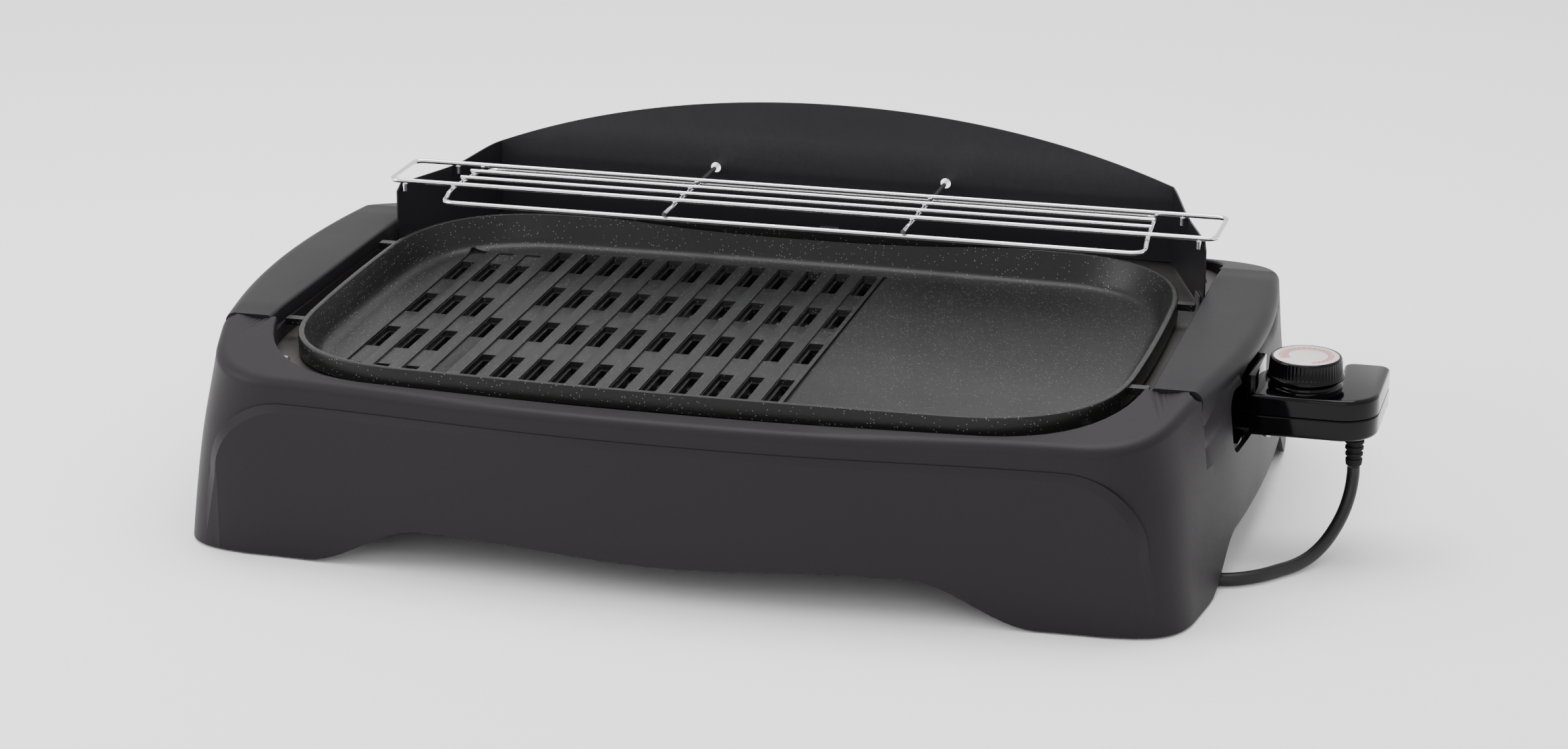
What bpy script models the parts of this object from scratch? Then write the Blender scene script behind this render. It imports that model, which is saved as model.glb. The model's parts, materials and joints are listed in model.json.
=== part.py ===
"""Electric griddle with a wind guard, a warming rack and a plug-in thermostat.

Metres, +Z up.  X runs along the griddle, -Y is the side the cook stands at, and z = 0 is the table.
The origin is on the table, on the plane that splits the griddle left from right.
"""
import math

import bmesh
import bpy
from mathutils import Matrix, Vector

for leftover in list(bpy.data.objects):
    bpy.data.objects.remove(leftover, do_unlink=True)

# ---------------------------------------------------------------- driving dimensions
GAP = 0.0003                    # clearance between pieces that touch

# base housing
BASE_BOTTOM = 0.0012            # the rubber feet stand this much proud
DECK_FRONT_Z = 0.1020           # top of the housing at its front and rear edges
DECK_SIDE_Z = 0.1165            # top of the housing beside the handles
FRONT_Y = -0.1990               # fascia at the middle of the front
REAR_Y = 0.1970                 # rear wall at its middle
BOW = 0.0140                    # how far the ends of the front and rear fall back
BOW_REACH = 0.270
WALL = 0.0030
SKIRT_WALL = 0.0020
SIDE_CENTRE_Y = 0.020           # where the bulging ends are widest
SIDE_TOP_HALF = 0.2950          # half length at the handles
SIDE_LOW_HALF = 0.2970          # half length at the table
SIDE_TOP_RADIUS = 0.60          # the ends bulge more at the top than at the table
SIDE_LOW_RADIUS = 1.30
SHOULDER_Z = 0.100              # the wall keeps one plan from here up
OPENING_X = 0.2515
OPENING_FRONT_Y = -0.1840
OPENING_REAR_Y = 0.1830
OPENING_BOW = 0.0070
OPENING_CORNER = (0.085, 0.040)
SKIRT_BOTTOM = 0.1002

# apron panel on the front
APRON_TOP_Z = 0.0895
APRON_PROUD = 0.0030
APRON_BEVEL = 0.0068
APRON_HALF = 0.2735
APRON_TOP_HALF = 0.2640

# handles
HANDLE_IN_X = OPENING_X
HANDLE_FRONT_Y = -0.1150
HANDLE_REAR_Y = 0.1180
HANDLE_SEAT_Z = 0.1085
HANDLE_TOP_Z = 0.1175
HANDLE_ROLL = 0.0075            # radius of its outer edge
LIP_THICK = 0.0028              # the outer edge ends in a lip
LIP_DEPTH = 0.0125              # how far the lip reaches down at its front end
LIP_RUN = 0.030

# cast grill plate
PLATE_TILT = math.radians(1.0)  # the plate drains towards the front
PLATE_PIVOT = (0.0, -0.024, 0.1145)
RIM_Z = 0.1145
RIM_X = 0.2400
RIM_FRONT_Y = -0.1780
RIM_REAR_Y = 0.1310
RIM_TOP_WIDTH = 0.0036
RIM_CENTRE_Y = -0.0200
RIM_SIDE_RADIUS = 1.60
RIM_BOW = 0.0050
RIM_CORNER = 0.0820
COOK_Z = 0.0962                 # rib tops and the smooth griddle
GROOVE_DEPTH = 0.0030
PLATE_UNDER_Z = 0.0880
SKIRT_HEIGHT = 0.0112
RIB_PITCH = 0.0175
FIRST_SLOT_X = -0.1319
SLOT_WIDTH = 0.0052
SLOT_LENGTH = 0.0280
ROW_PITCH = 0.0643
REAR_ROW_Y = 0.0902
LEFT_GROUP_SHIFT = -0.0290      # the three left columns sit half a row nearer the cook
GROOVE_WIDTH = 0.0082
EAR_Y = (-0.1000, 0.0500)
EAR_DROP = 0.0052               # underside of each ear, below the rim

# wind guard
GUARD_Y = 0.1750
GUARD_BEND_X = 0.2135
GUARD_FRONT_X = 0.2485
GUARD_FRONT_Y = 0.0810
GUARD_SHEET = 0.0010
GUARD_TOP_Z = 0.1852
GUARD_BOTTOM_Z = 0.1010
WING_TOP_Z = 0.1420
WIRE_HOLE_R = 0.0032

# warming rack
WIRE = 0.0030
THIN_WIRE = 0.0026
RACK_TOP_Z = WING_TOP_Z + GAP + WIRE / 2
LOOP_HALF = 0.2535
LOOP_FRONT_Y = 0.0835
LOOP_REAR_Y = 0.1305
BASKET_FRONT_HALF = 0.2150
BASKET_REAR_HALF = 0.2095
BASKET_FRONT_Y = 0.0650
BASKET_REAR_Y = 0.1470
INNER_WIRE_Y = (0.1000, 0.1155)
CROSS_WIRE_X = 0.0730
CROSS_FRONT_Y = 0.0625
CROSS_REAR_Y = 0.1830
CROSS_Z = RACK_TOP_Z - WIRE - GAP
BASKET_Z = CROSS_Z - WIRE - GAP

# thermostat
THERMO_Y = -0.0265
THERMO_HALF_DEPTH = 0.0235
THERMO_TOP = 0.0960
FLANGE_HALF = 0.0205
FLANGE_TOP_Z = 0.1062
THERMO_SEAM = 0.0842
THERMO_BOTTOM = 0.0724
THERMO_LEFT = 0.2955
THERMO_RIGHT = 0.3640
ARM_LEFT = 0.3385               # the end block reaches back from here
ARM_REAR_Y = 0.0215
KNOB_X = 0.3225
KNOB_R = 0.0215
KNOB_BASE_Z = 0.1012
KNOB_TOP_Z = 0.1135
DIAL_R = 0.0181
SPINDLE_R = 0.0030
SPINDLE_TOP_Z = KNOB_TOP_Z - 0.0040 - GAP
PROBE_Z = 0.0800
PIN_SPACING = 0.0125

# cord
CORD_D = 0.0073
CORD_REST_Z = CORD_D / 2 + GAP
CORD_EXIT = (0.3504, -0.0200)
RELIEF_TOP_Z = THERMO_BOTTOM - GAP
RELIEF_LENGTH = 0.0220
COIL_CENTRE = (0.0500, 0.2850)
COIL_OUTER = 0.0478
COIL_INNER = 0.0322
COIL_HEIGHT = 0.0152


# ---------------------------------------------------------------- materials
def paint(name, colour, roughness, metallic=0.0):
    """One Principled material."""
    material = bpy.data.materials.new(name)
    material.use_nodes = True
    shader = material.node_tree.nodes["Principled BSDF"]
    shader.inputs["Base Color"].default_value = (*colour, 1.0)
    shader.inputs["Roughness"].default_value = roughness
    shader.inputs["Metallic"].default_value = metallic
    material.diffuse_color = (*colour, 1.0)
    return material


FINISH = {
    "housing_plastic": ((0.020, 0.020, 0.022), 0.55, 0.0),
    "handle_plastic": ((0.024, 0.024, 0.026), 0.50, 0.0),
    "gloss_plastic": ((0.008, 0.008, 0.010), 0.12, 0.0),
    "nonstick": ((0.022, 0.022, 0.024), 0.42, 0.1),
    "painted_steel": ((0.014, 0.014, 0.016), 0.38, 0.2),
    "chrome": ((0.78, 0.78, 0.80), 0.12, 1.0),
    "steel": ((0.52, 0.52, 0.54), 0.32, 1.0),
    "aluminised_steel": ((0.46, 0.46, 0.47), 0.45, 1.0),
    "brass": ((0.62, 0.48, 0.24), 0.30, 1.0),
    "ceramic": ((0.72, 0.69, 0.62), 0.65, 0.0),
    "dial_face": ((0.74, 0.72, 0.70), 0.35, 0.0),
    "rubber": ((0.012, 0.012, 0.013), 0.85, 0.0),
    "cord_rubber": ((0.022, 0.022, 0.024), 0.60, 0.0),
}


# ---------------------------------------------------------------- small shape tools
def smoothstep(t):
    t = min(max(t, 0.0), 1.0)
    return t * t * (3 - 2 * t)


def smootherstep(t):
    t = min(max(t, 0.0), 1.0)
    return t * t * t * (10 - 15 * t + 6 * t * t)


def empty(name, location):
    """A parent empty on a joint's axis."""
    holder = bpy.data.objects.new(name, None)
    holder.location = location
    bpy.context.collection.objects.link(holder)
    return holder


def place(obj, name, finish, parent=None):
    """Name an object, give it its own material, and hang it under its parent."""
    obj.name = name
    obj.data.name = name
    if obj.name not in bpy.context.collection.objects:
        bpy.context.collection.objects.link(obj)
    colour, roughness, metallic = FINISH[finish]
    obj.data.materials.clear()
    obj.data.materials.append(paint(name + "_" + finish, colour, roughness, metallic))
    if parent is not None:
        obj.parent = parent
        obj.matrix_parent_inverse = Matrix.Translation(parent.location).inverted()
    return obj


def from_bmesh(bm, smooth=False):
    """Turn a bmesh, made in world coordinates, into an object with its faces outward."""
    bmesh.ops.recalc_face_normals(bm, faces=bm.faces)
    mesh = bpy.data.meshes.new("mesh")
    bm.to_mesh(mesh)
    bm.free()
    if smooth:
        mesh.shade_smooth()
        mesh.set_sharp_from_angle(angle=math.radians(35))
    obj = bpy.data.objects.new("piece", mesh)
    bpy.context.collection.objects.link(obj)
    return obj


def add_box(bm, low, high):
    """A box between two corners."""
    low, high = Vector(low), Vector(high)
    made = bmesh.ops.create_cube(bm, size=1.0)["verts"]
    for vert in made:
        vert.co = Vector(((vert.co[i] + 0.5) * (high[i] - low[i]) + low[i]) for i in range(3))
    return made


def add_cylinder(bm, start, end, radius, end_radius=None, segments=20):
    """A round bar or a cone between two points."""
    start, end = Vector(start), Vector(end)
    along = end - start
    turn = along.to_track_quat("Z", "Y").to_matrix().to_4x4()
    made = bmesh.ops.create_cone(
        bm, cap_ends=True, cap_tris=False, segments=segments, radius1=radius,
        radius2=radius if end_radius is None else end_radius, depth=along.length,
        matrix=Matrix.Translation((start + end) / 2) @ turn)["verts"]
    return made


def boolean(obj, tool, operation):
    """Keep the operation live and hide its tool from the result."""
    tool.hide_render = True
    tool.display_type = "WIRE"
    mod = obj.modifiers.new(operation.lower(), "BOOLEAN")
    mod.operation = operation
    mod.object = tool
    mod.solver = "EXACT"
    return mod


def tool_from(bm, name):
    tool = from_bmesh(bm)
    tool.name = name
    return tool


def loft(rings, caps=False):
    """Join rings with the same number of points; without caps the last ring meets the first."""
    bm = bmesh.new()
    rows = [[bm.verts.new(point) for point in ring] for ring in rings]
    count = len(rows[0])
    pairs = len(rows) - 1 if caps else len(rows)
    for r in range(pairs):
        here, there = rows[r], rows[(r + 1) % len(rows)]
        for i in range(count):
            j = (i + 1) % count
            bm.faces.new((here[i], here[j], there[j], there[i]))
    if caps:
        bm.faces.new(rows[0])
        bm.faces.new(rows[-1])
    return bm


def join_rings(bm, rings):
    """Skin a stack of open-ended rings and cap both ends."""
    count = len(rings[0])
    for here, there in zip(rings, rings[1:]):
        for i in range(count):
            j = (i + 1) % count
            bm.faces.new((here[i], here[j], there[j], there[i]))
    bm.faces.new(rings[0])
    bm.faces.new(rings[-1])
    bmesh.ops.recalc_face_normals(bm, faces=bm.faces)


def turned(profile, centre, segments=36):
    """Spin a closed (radius, z) outline about a vertical axis."""
    bm = bmesh.new()
    rows = []
    for k in range(segments):
        a = 2 * math.pi * k / segments
        rows.append([bm.verts.new((centre[0] + r * math.cos(a), centre[1] + r * math.sin(a), z))
                     for r, z in profile])
    count = len(profile)
    for k in range(segments):
        here, there = rows[k], rows[(k + 1) % segments]
        for i in range(count):
            j = (i + 1) % count
            if profile[i][0] < 1e-6 and profile[j][0] < 1e-6:
                continue
            bm.faces.new((here[i], here[j], there[j], there[i]))
    bmesh.ops.remove_doubles(bm, verts=bm.verts, dist=1e-6)
    return bm


def prism(outline, axis, low, high):
    """Extrude a closed 2D outline along X, Y or Z."""
    def lift(point, d):
        u, v = point
        return {"X": (d, u, v), "Y": (u, d, v), "Z": (u, v, d)}[axis]
    return loft([[lift(p, low) for p in outline], [lift(p, high) for p in outline]], caps=True)


def rounded_rectangle(half_x, half_y, radius, steps=5, centre=(0.0, 0.0)):
    """A rectangle in plan with round corners."""
    points = []
    for sx, sy, start in ((1, 1, 0), (-1, 1, 90), (-1, -1, 180), (1, -1, 270)):
        for k in range(steps + 1):
            a = math.radians(start + 90 * k / steps)
            points.append((centre[0] + sx * (half_x - radius) + radius * math.cos(a),
                           centre[1] + sy * (half_y - radius) + radius * math.sin(a)))
    return points


def wire_object(points, diameter, closed=False, bevel_resolution=2):
    """A bent wire along a polyline."""
    curve = bpy.data.curves.new("wire", "CURVE")
    curve.dimensions = "3D"
    curve.bevel_depth = diameter / 2
    curve.bevel_resolution = bevel_resolution
    curve.use_fill_caps = not closed
    spline = curve.splines.new("POLY")
    spline.points.add(len(points) - 1)
    for slot, point in zip(spline.points, points):
        slot.co = (*point, 1.0)
    spline.use_cyclic_u = closed
    obj = bpy.data.objects.new("wire", curve)
    bpy.context.collection.objects.link(obj)
    return obj


def round_path(corners, radius, steps=4, closed=False):
    """A polyline through corners, with each bend taken as an arc."""
    count = len(corners)
    points = []
    for i in range(count):
        here = Vector(corners[i])
        if not closed and i in (0, count - 1):
            points.append(tuple(here))
            continue
        before = (Vector(corners[i - 1]) - here).normalized()
        after = (Vector(corners[(i + 1) % count]) - here).normalized()
        for k in range(steps + 1):
            t = k / steps
            a = here + before * radius * (1 - t) ** 2 + after * radius * t ** 2
            points.append(tuple(a))
    return points


# ---------------------------------------------------------------- plan outlines
def bow(x, depth, reach=BOW_REACH):
    """How far a bowed edge has fallen back at x."""
    return depth * smootherstep(abs(x) / reach)


def plan_outline(half_x, side_radius, front_y, rear_y, depth, corner,
                 side_centre=SIDE_CENTRE_Y, across=10, along=6, turn=5):
    """Plan view: bowed front and rear, bulging ends, round corners, counted the same each time."""
    front_size, rear_size = corner if isinstance(corner, tuple) else (corner, corner)

    def side_x(y):
        return half_x - (y - side_centre) ** 2 / (2 * side_radius)

    def corner_point(edge_y, sign):
        x = half_x
        for _ in range(20):
            y = edge_y + sign * bow(x, depth)
            x = side_x(y)
        return x, y

    fx, fy = corner_point(front_y, 1)
    rx, ry = corner_point(rear_y, -1)

    def quarter(x, y, edge_y, sign, corner):
        """From the bowed edge round to the end."""
        start = Vector((x - corner, edge_y + sign * bow(x - corner, depth)))
        end = Vector((side_x(y + sign * corner), y + sign * corner))
        middle = Vector((x, y))
        out = []
        for k in range(turn + 1):
            t = k / turn
            out.append(tuple(start * (1 - t) ** 2 + middle * 2 * t * (1 - t) + end * t * t))
        return out

    front_corner = quarter(fx, fy, front_y, 1, front_size)
    rear_corner = quarter(rx, ry, rear_y, -1, rear_size)
    right = []
    for k in range(1, along):
        y = fy + front_size + (ry - fy - front_size - rear_size) * k / along
        right.append((side_x(y), y))
    half = front_corner + right + rear_corner[::-1]
    front = []
    for k in range(1, across):
        x = -(fx - front_size) + 2 * (fx - front_size) * k / across
        front.append((x, front_y + bow(x, depth)))
    rear = []
    for k in range(1, across):
        x = (rx - rear_size) - 2 * (rx - rear_size) * k / across
        rear.append((x, rear_y - bow(x, depth)))
    left = [(-x, y) for x, y in half[::-1]]
    return front + half + rear + left


def blend_outline(a, b, t):
    return [(p[0] * (1 - t) + q[0] * t, p[1] * (1 - t) + q[1] * t) for p, q in zip(a, b)]


def deck_height(y):
    """Top of the housing: high beside the handles, lower along the front and the rear."""
    fall = DECK_SIDE_Z - DECK_FRONT_Z
    edge = FRONT_Y if y < 0 else REAR_Y
    start = HANDLE_FRONT_Y if y < 0 else HANDLE_REAR_Y
    t = (abs(y) - abs(start)) / (abs(edge) - 0.008 - abs(start))
    return DECK_SIDE_Z - fall * min(max(t, 0.0), 1.0)


def shoulder_drop(y, share):
    """How far the shoulder under each handle lies below the deck: a finger scoop opens at its front."""
    along = smoothstep((y + 0.1175) / 0.007) * smoothstep((0.1195 - y) / 0.012)
    scoop = 0.0185 * (1 - smoothstep((y + 0.108) / 0.060))
    pocket = 0.0060 * smoothstep((y - 0.005) / 0.050)
    return along * (0.0090 + share * scoop + pocket)


def side_reach(y, height):
    """Half length of the outer wall at a station and a height."""
    rise = min(height / SHOULDER_Z, 1.0)
    half = SIDE_LOW_HALF + (SIDE_TOP_HALF - SIDE_LOW_HALF) * rise
    radius = SIDE_LOW_RADIUS + (SIDE_TOP_RADIUS - SIDE_LOW_RADIUS) * rise
    return half - (y - SIDE_CENTRE_Y) ** 2 / (2 * radius)


# ---------------------------------------------------------------- base housing
def wall_outline(height, inset=0.0):
    """Plan of the outer wall: its corners spread towards the table."""
    rise = min(height / SHOULDER_Z, 1.0)
    half_x = side_reach(SIDE_CENTRE_Y, height) - inset
    side_radius = SIDE_LOW_RADIUS + (SIDE_TOP_RADIUS - SIDE_LOW_RADIUS) * rise
    lean = 0.0010 * (1 - rise)
    corner = (0.030 + 0.006 * rise, 0.030 + 0.020 * rise)
    return plan_outline(half_x, side_radius, FRONT_Y - lean + inset, REAR_Y + lean - inset, BOW, corner)


def ring_at(outline, height):
    return [(x, y, height) for x, y in outline]


def ring_below_deck(outline, drop, share=None):
    """A ring that follows the deck; a share says how much of the scoop it takes."""
    return [(x, y, deck_height(y) - drop - (0.0 if share is None else shoulder_drop(y, share)))
            for x, y in outline]


def pulled_in(outline, distance):
    """The same outline with its two ends drawn towards the middle."""
    return [(x - math.copysign(distance if abs(x) > 0.2 else 0.0, x), y) for x, y in outline]


def opening_outline(outset):
    """The well that the plate, the frame and the wind guard stand in."""
    return plan_outline(OPENING_X + outset, 6.0, OPENING_FRONT_Y - outset, OPENING_REAR_Y + outset,
                        OPENING_BOW, OPENING_CORNER)


ROLL = 0.0058                   # radius of the rolled outer edge
RISER = (0.0004, 0.0032)        # the step up from the shoulder to the deck, beyond the roll
RISER_INSIDE = (0.0045, 0.0055)


def make_base():
    """One moulded shell: outer wall, rolled edge, deck, opening skirt, and the same way back."""
    opening = opening_outline(0.0)
    opening_edge = opening_outline(0.0012)
    opening_out = opening_outline(SKIRT_WALL)
    roll_edge = wall_outline(SHOULDER_Z, ROLL)
    inner_edge = wall_outline(SHOULDER_Z, ROLL + 0.0002)
    deck_edge = pulled_in(roll_edge, RISER[1])
    rings = [ring_at(wall_outline(height), height) for height in (BASE_BOTTOM, 0.030, 0.055, 0.076)]
    for inset, drop, share in ((0.0, ROLL, 1.0), (ROLL * 0.29, ROLL * 0.29, 0.70), (ROLL, 0.0, 0.2)):
        rings.append(ring_below_deck(wall_outline(SHOULDER_Z, inset), drop, share))
    rings.append(ring_below_deck(pulled_in(roll_edge, RISER[0]), 0.0, 0.2))
    rings.append(ring_below_deck(deck_edge, 0.0))
    rings.append(ring_below_deck(blend_outline(deck_edge, opening, 0.60), 0.0))
    rings.append(ring_below_deck(opening_edge, 0.0))
    rings.append(ring_below_deck(opening, 0.0012))
    rings.append(ring_at(opening, SKIRT_BOTTOM))
    rings.append(ring_at(opening_out, SKIRT_BOTTOM))
    rings.append([(x, y, max(deck_height(y) - WALL, SKIRT_BOTTOM + 0.0006)) for x, y in opening_out])
    rings.append([(x, y, max(deck_height(y) - WALL, SKIRT_BOTTOM + 0.0002))
                  for x, y in pulled_in(inner_edge, RISER_INSIDE[1])])
    rings.append(ring_below_deck(pulled_in(inner_edge, RISER_INSIDE[0]), WALL + 0.0008, 0.2))
    rings.append(ring_below_deck(inner_edge, WALL + 0.0010, 0.2))
    rings.append(ring_below_deck(wall_outline(SHOULDER_Z, WALL), WALL + ROLL * 0.8, 1.0))
    for height in (0.076, 0.040, BASE_BOTTOM):
        rings.append(ring_at(wall_outline(height, WALL), height))
    bm = loft(rings)
    bmesh.ops.triangulate(bm, faces=bm.faces)
    return from_bmesh(bm, smooth=True)


def apron_outline(inset):
    """Front view of the apron: rounded shoulders on slightly leaning sides."""
    top = APRON_TOP_Z - inset
    low_half = APRON_HALF - inset
    high_half = APRON_TOP_HALF - inset
    shoulder = 0.044 - inset * 0.5
    points = [(-low_half, BASE_BOTTOM), (low_half, BASE_BOTTOM)]
    right = []
    knee_z = top - shoulder
    for k in range(7):
        a = math.radians(90 * k / 6)
        right.append((high_half - shoulder * 1.05 * (1 - math.cos(a)), knee_z + shoulder * math.sin(a)))
    points += right + [(-x, z) for x, z in right[::-1]]
    return points


def make_apron():
    """The raised panel: a slab with a bevelled border, bent to the bow of the front."""
    border = apron_outline(0.0)
    face = apron_outline(APRON_BEVEL)
    face[0] = (-(APRON_HALF - APRON_BEVEL), BASE_BOTTOM)
    face[1] = (APRON_HALF - APRON_BEVEL, BASE_BOTTOM)
    bm = loft([[(x, 0.0016, z) for x, z in border],
               [(x, -0.0006, z) for x, z in border],
               [(x, -APRON_PROUD, z) for x, z in face]], caps=True)
    for k in range(-6, 7):
        geom = bm.verts[:] + bm.edges[:] + bm.faces[:]
        bmesh.ops.bisect_plane(bm, geom=geom, plane_co=(k * 0.0400, 0, 0), plane_no=(1, 0, 0))
    for vert in bm.verts:
        vert.co.y += FRONT_Y + bow(vert.co.x, BOW)
        vert.co.y += 0.0075 * smoothstep((abs(vert.co.x) - 0.250) / 0.024)
    return tool_from(bm, "tool_apron")


def front_scallop(x):
    """Height of the lower edge along the front: two arches with a shallow belly between."""
    rise = 0.0245 * smoothstep((0.2060 - abs(x)) / 0.070)
    belly = 0.0045 * smoothstep((0.110 - abs(x)) / 0.110)
    return BASE_BOTTOM + rise - belly


def side_arch(y):
    """Height of the lower edge along each end."""
    return BASE_BOTTOM + 0.0235 * smoothstep((y + 0.124) / 0.055) * smoothstep((0.134 - y) / 0.045)


def scallop_tools():
    points = [(-0.206 + 0.412 * k / 24) for k in range(25)]
    curve = [(x, front_scallop(x)) for x in points]
    outline = [(-0.206, -0.01)] + curve + [(0.206, -0.01)]
    front = tool_from(prism(outline, "Y", -0.26, 0.26), "tool_front_scallop")
    reach = [-0.124 + 0.258 * k / 16 for k in range(17)]
    curve = [(y, side_arch(y)) for y in reach]
    outline = [(-0.124, -0.01)] + curve + [(0.134, -0.01)]
    side = tool_from(prism(outline, "X", -0.36, 0.36), "tool_side_arch")
    return front, side


def foot_spots():
    return [(sx * 0.2560, y) for sx in (-1, 1) for y in (-0.1560, 0.1580)]


def liner_screw_spots():
    return [(sx * x, y) for sx in (-1, 1) for x, y in ((0.2335, -0.1420), (0.2370, 0.1440))]


def handle_screw_spots(side):
    return [(side * 0.2660, y) for y in (-0.095, 0.098)]


def foot_bosses():
    """A round-nosed boss over each foot, run out to the wall."""
    bm = bmesh.new()
    for x, y in foot_spots():
        side = 1 if x > 0 else -1
        wall_x = side_reach(y, 0.010) - WALL / 2
        outline = [(side * wall_x, y - 0.0085), (side * wall_x, y + 0.0085)]
        for k in range(9):
            a = math.radians(90 + 180 * k / 8)
            outline.append((x + side * 0.0085 * math.cos(a), y + 0.0085 * math.sin(a)))
        rings = [[bm.verts.new((px, py, z)) for px, py in outline] for z in (BASE_BOTTOM + 0.0006, 0.0180)]
        count = len(outline)
        for i in range(count):
            j = (i + 1) % count
            bm.faces.new((rings[0][i], rings[0][j], rings[1][j], rings[1][i]))
        bm.faces.new(rings[0])
        bm.faces.new(rings[1])
    return tool_from(bm, "tool_foot_bosses")


def frame_pads():
    """Pads in the corners that the sheet-steel frame is screwed up to."""
    bm = bmesh.new()
    for x, y in liner_screw_spots():
        sign = 1 if x > 0 else -1
        wall_x = side_reach(y + math.copysign(0.007, y), SHOULDER_Z) - WALL * 0.6
        low, high = sorted_box((x - sign * 0.0065, y - 0.007, 0.0880), (sign * wall_x, y + 0.007, 0.0985))
        add_box(bm, low, high)
    return tool_from(bm, "tool_frame_pads")


def sorted_box(a, b):
    low = tuple(min(p, q) for p, q in zip(a, b))
    high = tuple(max(p, q) for p, q in zip(a, b))
    return low, high


def handle_stations(grow=0.0):
    """Stations along a handle, closer together where its lip sweeps down."""
    front, rear = HANDLE_FRONT_Y - grow, HANDLE_REAR_Y + grow
    near = [front + LIP_RUN * k / 3 for k in range(4)]
    return near + [near[-1] + (rear - near[-1]) * k / 6 for k in range(1, 7)]


def lip_z(y):
    """Lower edge of the handle's lip."""
    sweep = 1 - smoothstep((y - HANDLE_FRONT_Y) / LIP_RUN)
    return HANDLE_SEAT_Z - 0.0001 - LIP_DEPTH * sweep


def handle_edge(y):
    return side_reach(y, SHOULDER_Z) - 0.0002


def handle_recess():
    """Room for the handles: open above their seats, and for the lips as far down as they reach."""
    bm = bmesh.new()
    for side in (-1, 1):
        rings = []
        for y in handle_stations(GAP):
            edge = handle_edge(y)
            inner = edge - LIP_THICK - GAP
            low = min(lip_z(y) - GAP, HANDLE_SEAT_Z - 0.0002)
            section = [(HANDLE_IN_X - 0.012, 0.140), (HANDLE_IN_X - 0.012, HANDLE_SEAT_Z),
                       (inner, HANDLE_SEAT_Z), (inner, low), (edge + 0.030, low), (edge + 0.030, 0.140)]
            rings.append([bm.verts.new((side * x, y, z)) for x, z in section])
        join_rings(bm, rings)
    return tool_from(bm, "tool_handle_recess")


def handle_platform():
    """The seat under each handle; its outer side runs in the step of the shoulder."""
    bm = bmesh.new()
    for side in (-1, 1):
        front, rear = HANDLE_FRONT_Y - 0.0022, HANDLE_REAR_Y + 0.0022
        rings = []
        for k in range(9):
            y = front + (rear - front) * k / 8
            outer = side_reach(y, SHOULDER_Z) - ROLL - (RISER[1] + RISER_INSIDE[0]) / 2
            section = [(HANDLE_IN_X + 0.0006, 0.1052), (outer, 0.1052), (outer, HANDLE_SEAT_Z + 0.0012),
                       (HANDLE_IN_X + 0.0006, HANDLE_SEAT_Z + 0.0012)]
            rings.append([bm.verts.new((side * x, y, z)) for x, z in section])
        join_rings(bm, rings)
    return tool_from(bm, "tool_handle_platform")


def ear_seats():
    """Ledges in the opening that the plate's four ears rest on."""
    bm = bmesh.new()
    for side in (-1, 1):
        for y in EAR_Y:
            top = RIM_Z - EAR_DROP + (y - PLATE_PIVOT[1]) * math.tan(PLATE_TILT) - 2 * GAP
            low, high = sorted_box((side * (OPENING_X - 0.0055), y - 0.005, SKIRT_BOTTOM + 0.0011),
                                   (side * (OPENING_X + 0.0002), y + 0.005, top))
            add_box(bm, low, high)
    return tool_from(bm, "tool_ear_seats")


def thermostat_notch():
    """Above the thermostat's flange the shoulder is left open."""
    bm = bmesh.new()
    half = FLANGE_HALF + 0.0030
    add_box(bm, (0.2890, THERMO_Y - half, 0.0930), (0.3400, THERMO_Y + half, 0.1250))
    return tool_from(bm, "tool_notch")


def thermostat_window():
    """The opening in the right-hand end that the thermostat plugs through."""
    outline = [(THERMO_Y + u, v) for u, v in rounded_rectangle(0.0400, 0.0180, 0.010, 4, (-0.0040, 0.0840))]
    return tool_from(prism(outline, "X", 0.2600, 0.3400), "tool_window")


def screw_holes():
    bm = bmesh.new()
    for side in (-1, 1):
        for x, y in handle_screw_spots(side):
            add_cylinder(bm, (x, y, 0.100), (x, y, 0.112), 0.0019, segments=12)
    for x, y in liner_screw_spots():
        add_cylinder(bm, (x, y, 0.0900), (x, y, 0.1000), 0.0019, segments=12)
    for x, y in foot_spots():
        add_cylinder(bm, (x, y, 0.0), (x, y, 0.0075), 0.0026, segments=12)
    return tool_from(bm, "tool_screw_holes")


base = make_base()
boolean(base, make_apron(), "UNION")
boolean(base, foot_bosses(), "UNION")
boolean(base, frame_pads(), "UNION")
boolean(base, handle_platform(), "UNION")
boolean(base, handle_recess(), "DIFFERENCE")
boolean(base, ear_seats(), "UNION")
for scallop in scallop_tools():
    boolean(base, scallop, "DIFFERENCE")
boolean(base, thermostat_window(), "DIFFERENCE")
boolean(base, thermostat_notch(), "DIFFERENCE")
boolean(base, screw_holes(), "DIFFERENCE")
place(base, "base_housing", "housing_plastic")


# ---------------------------------------------------------------- handles
def handle_section(y):
    """Section across a handle: seat, lip, rolled outer edge and crowned top."""
    inner = HANDLE_IN_X + GAP
    edge = handle_edge(y)
    seat = HANDLE_SEAT_Z + GAP
    centre_x, centre_z = edge - HANDLE_ROLL, HANDLE_TOP_Z - HANDLE_ROLL
    section = [(inner, seat), (edge - LIP_THICK, seat), (edge - LIP_THICK, lip_z(y)), (edge, lip_z(y))]
    for k in range(4):
        a = math.radians(30 * k)
        section.append((centre_x + HANDLE_ROLL * math.cos(a), centre_z + HANDLE_ROLL * math.sin(a)))
    return section + [(inner + 0.0014, HANDLE_TOP_Z), (inner + 0.0004, HANDLE_TOP_Z - 0.0004),
                      (inner, HANDLE_TOP_Z - 0.0014)]


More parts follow.
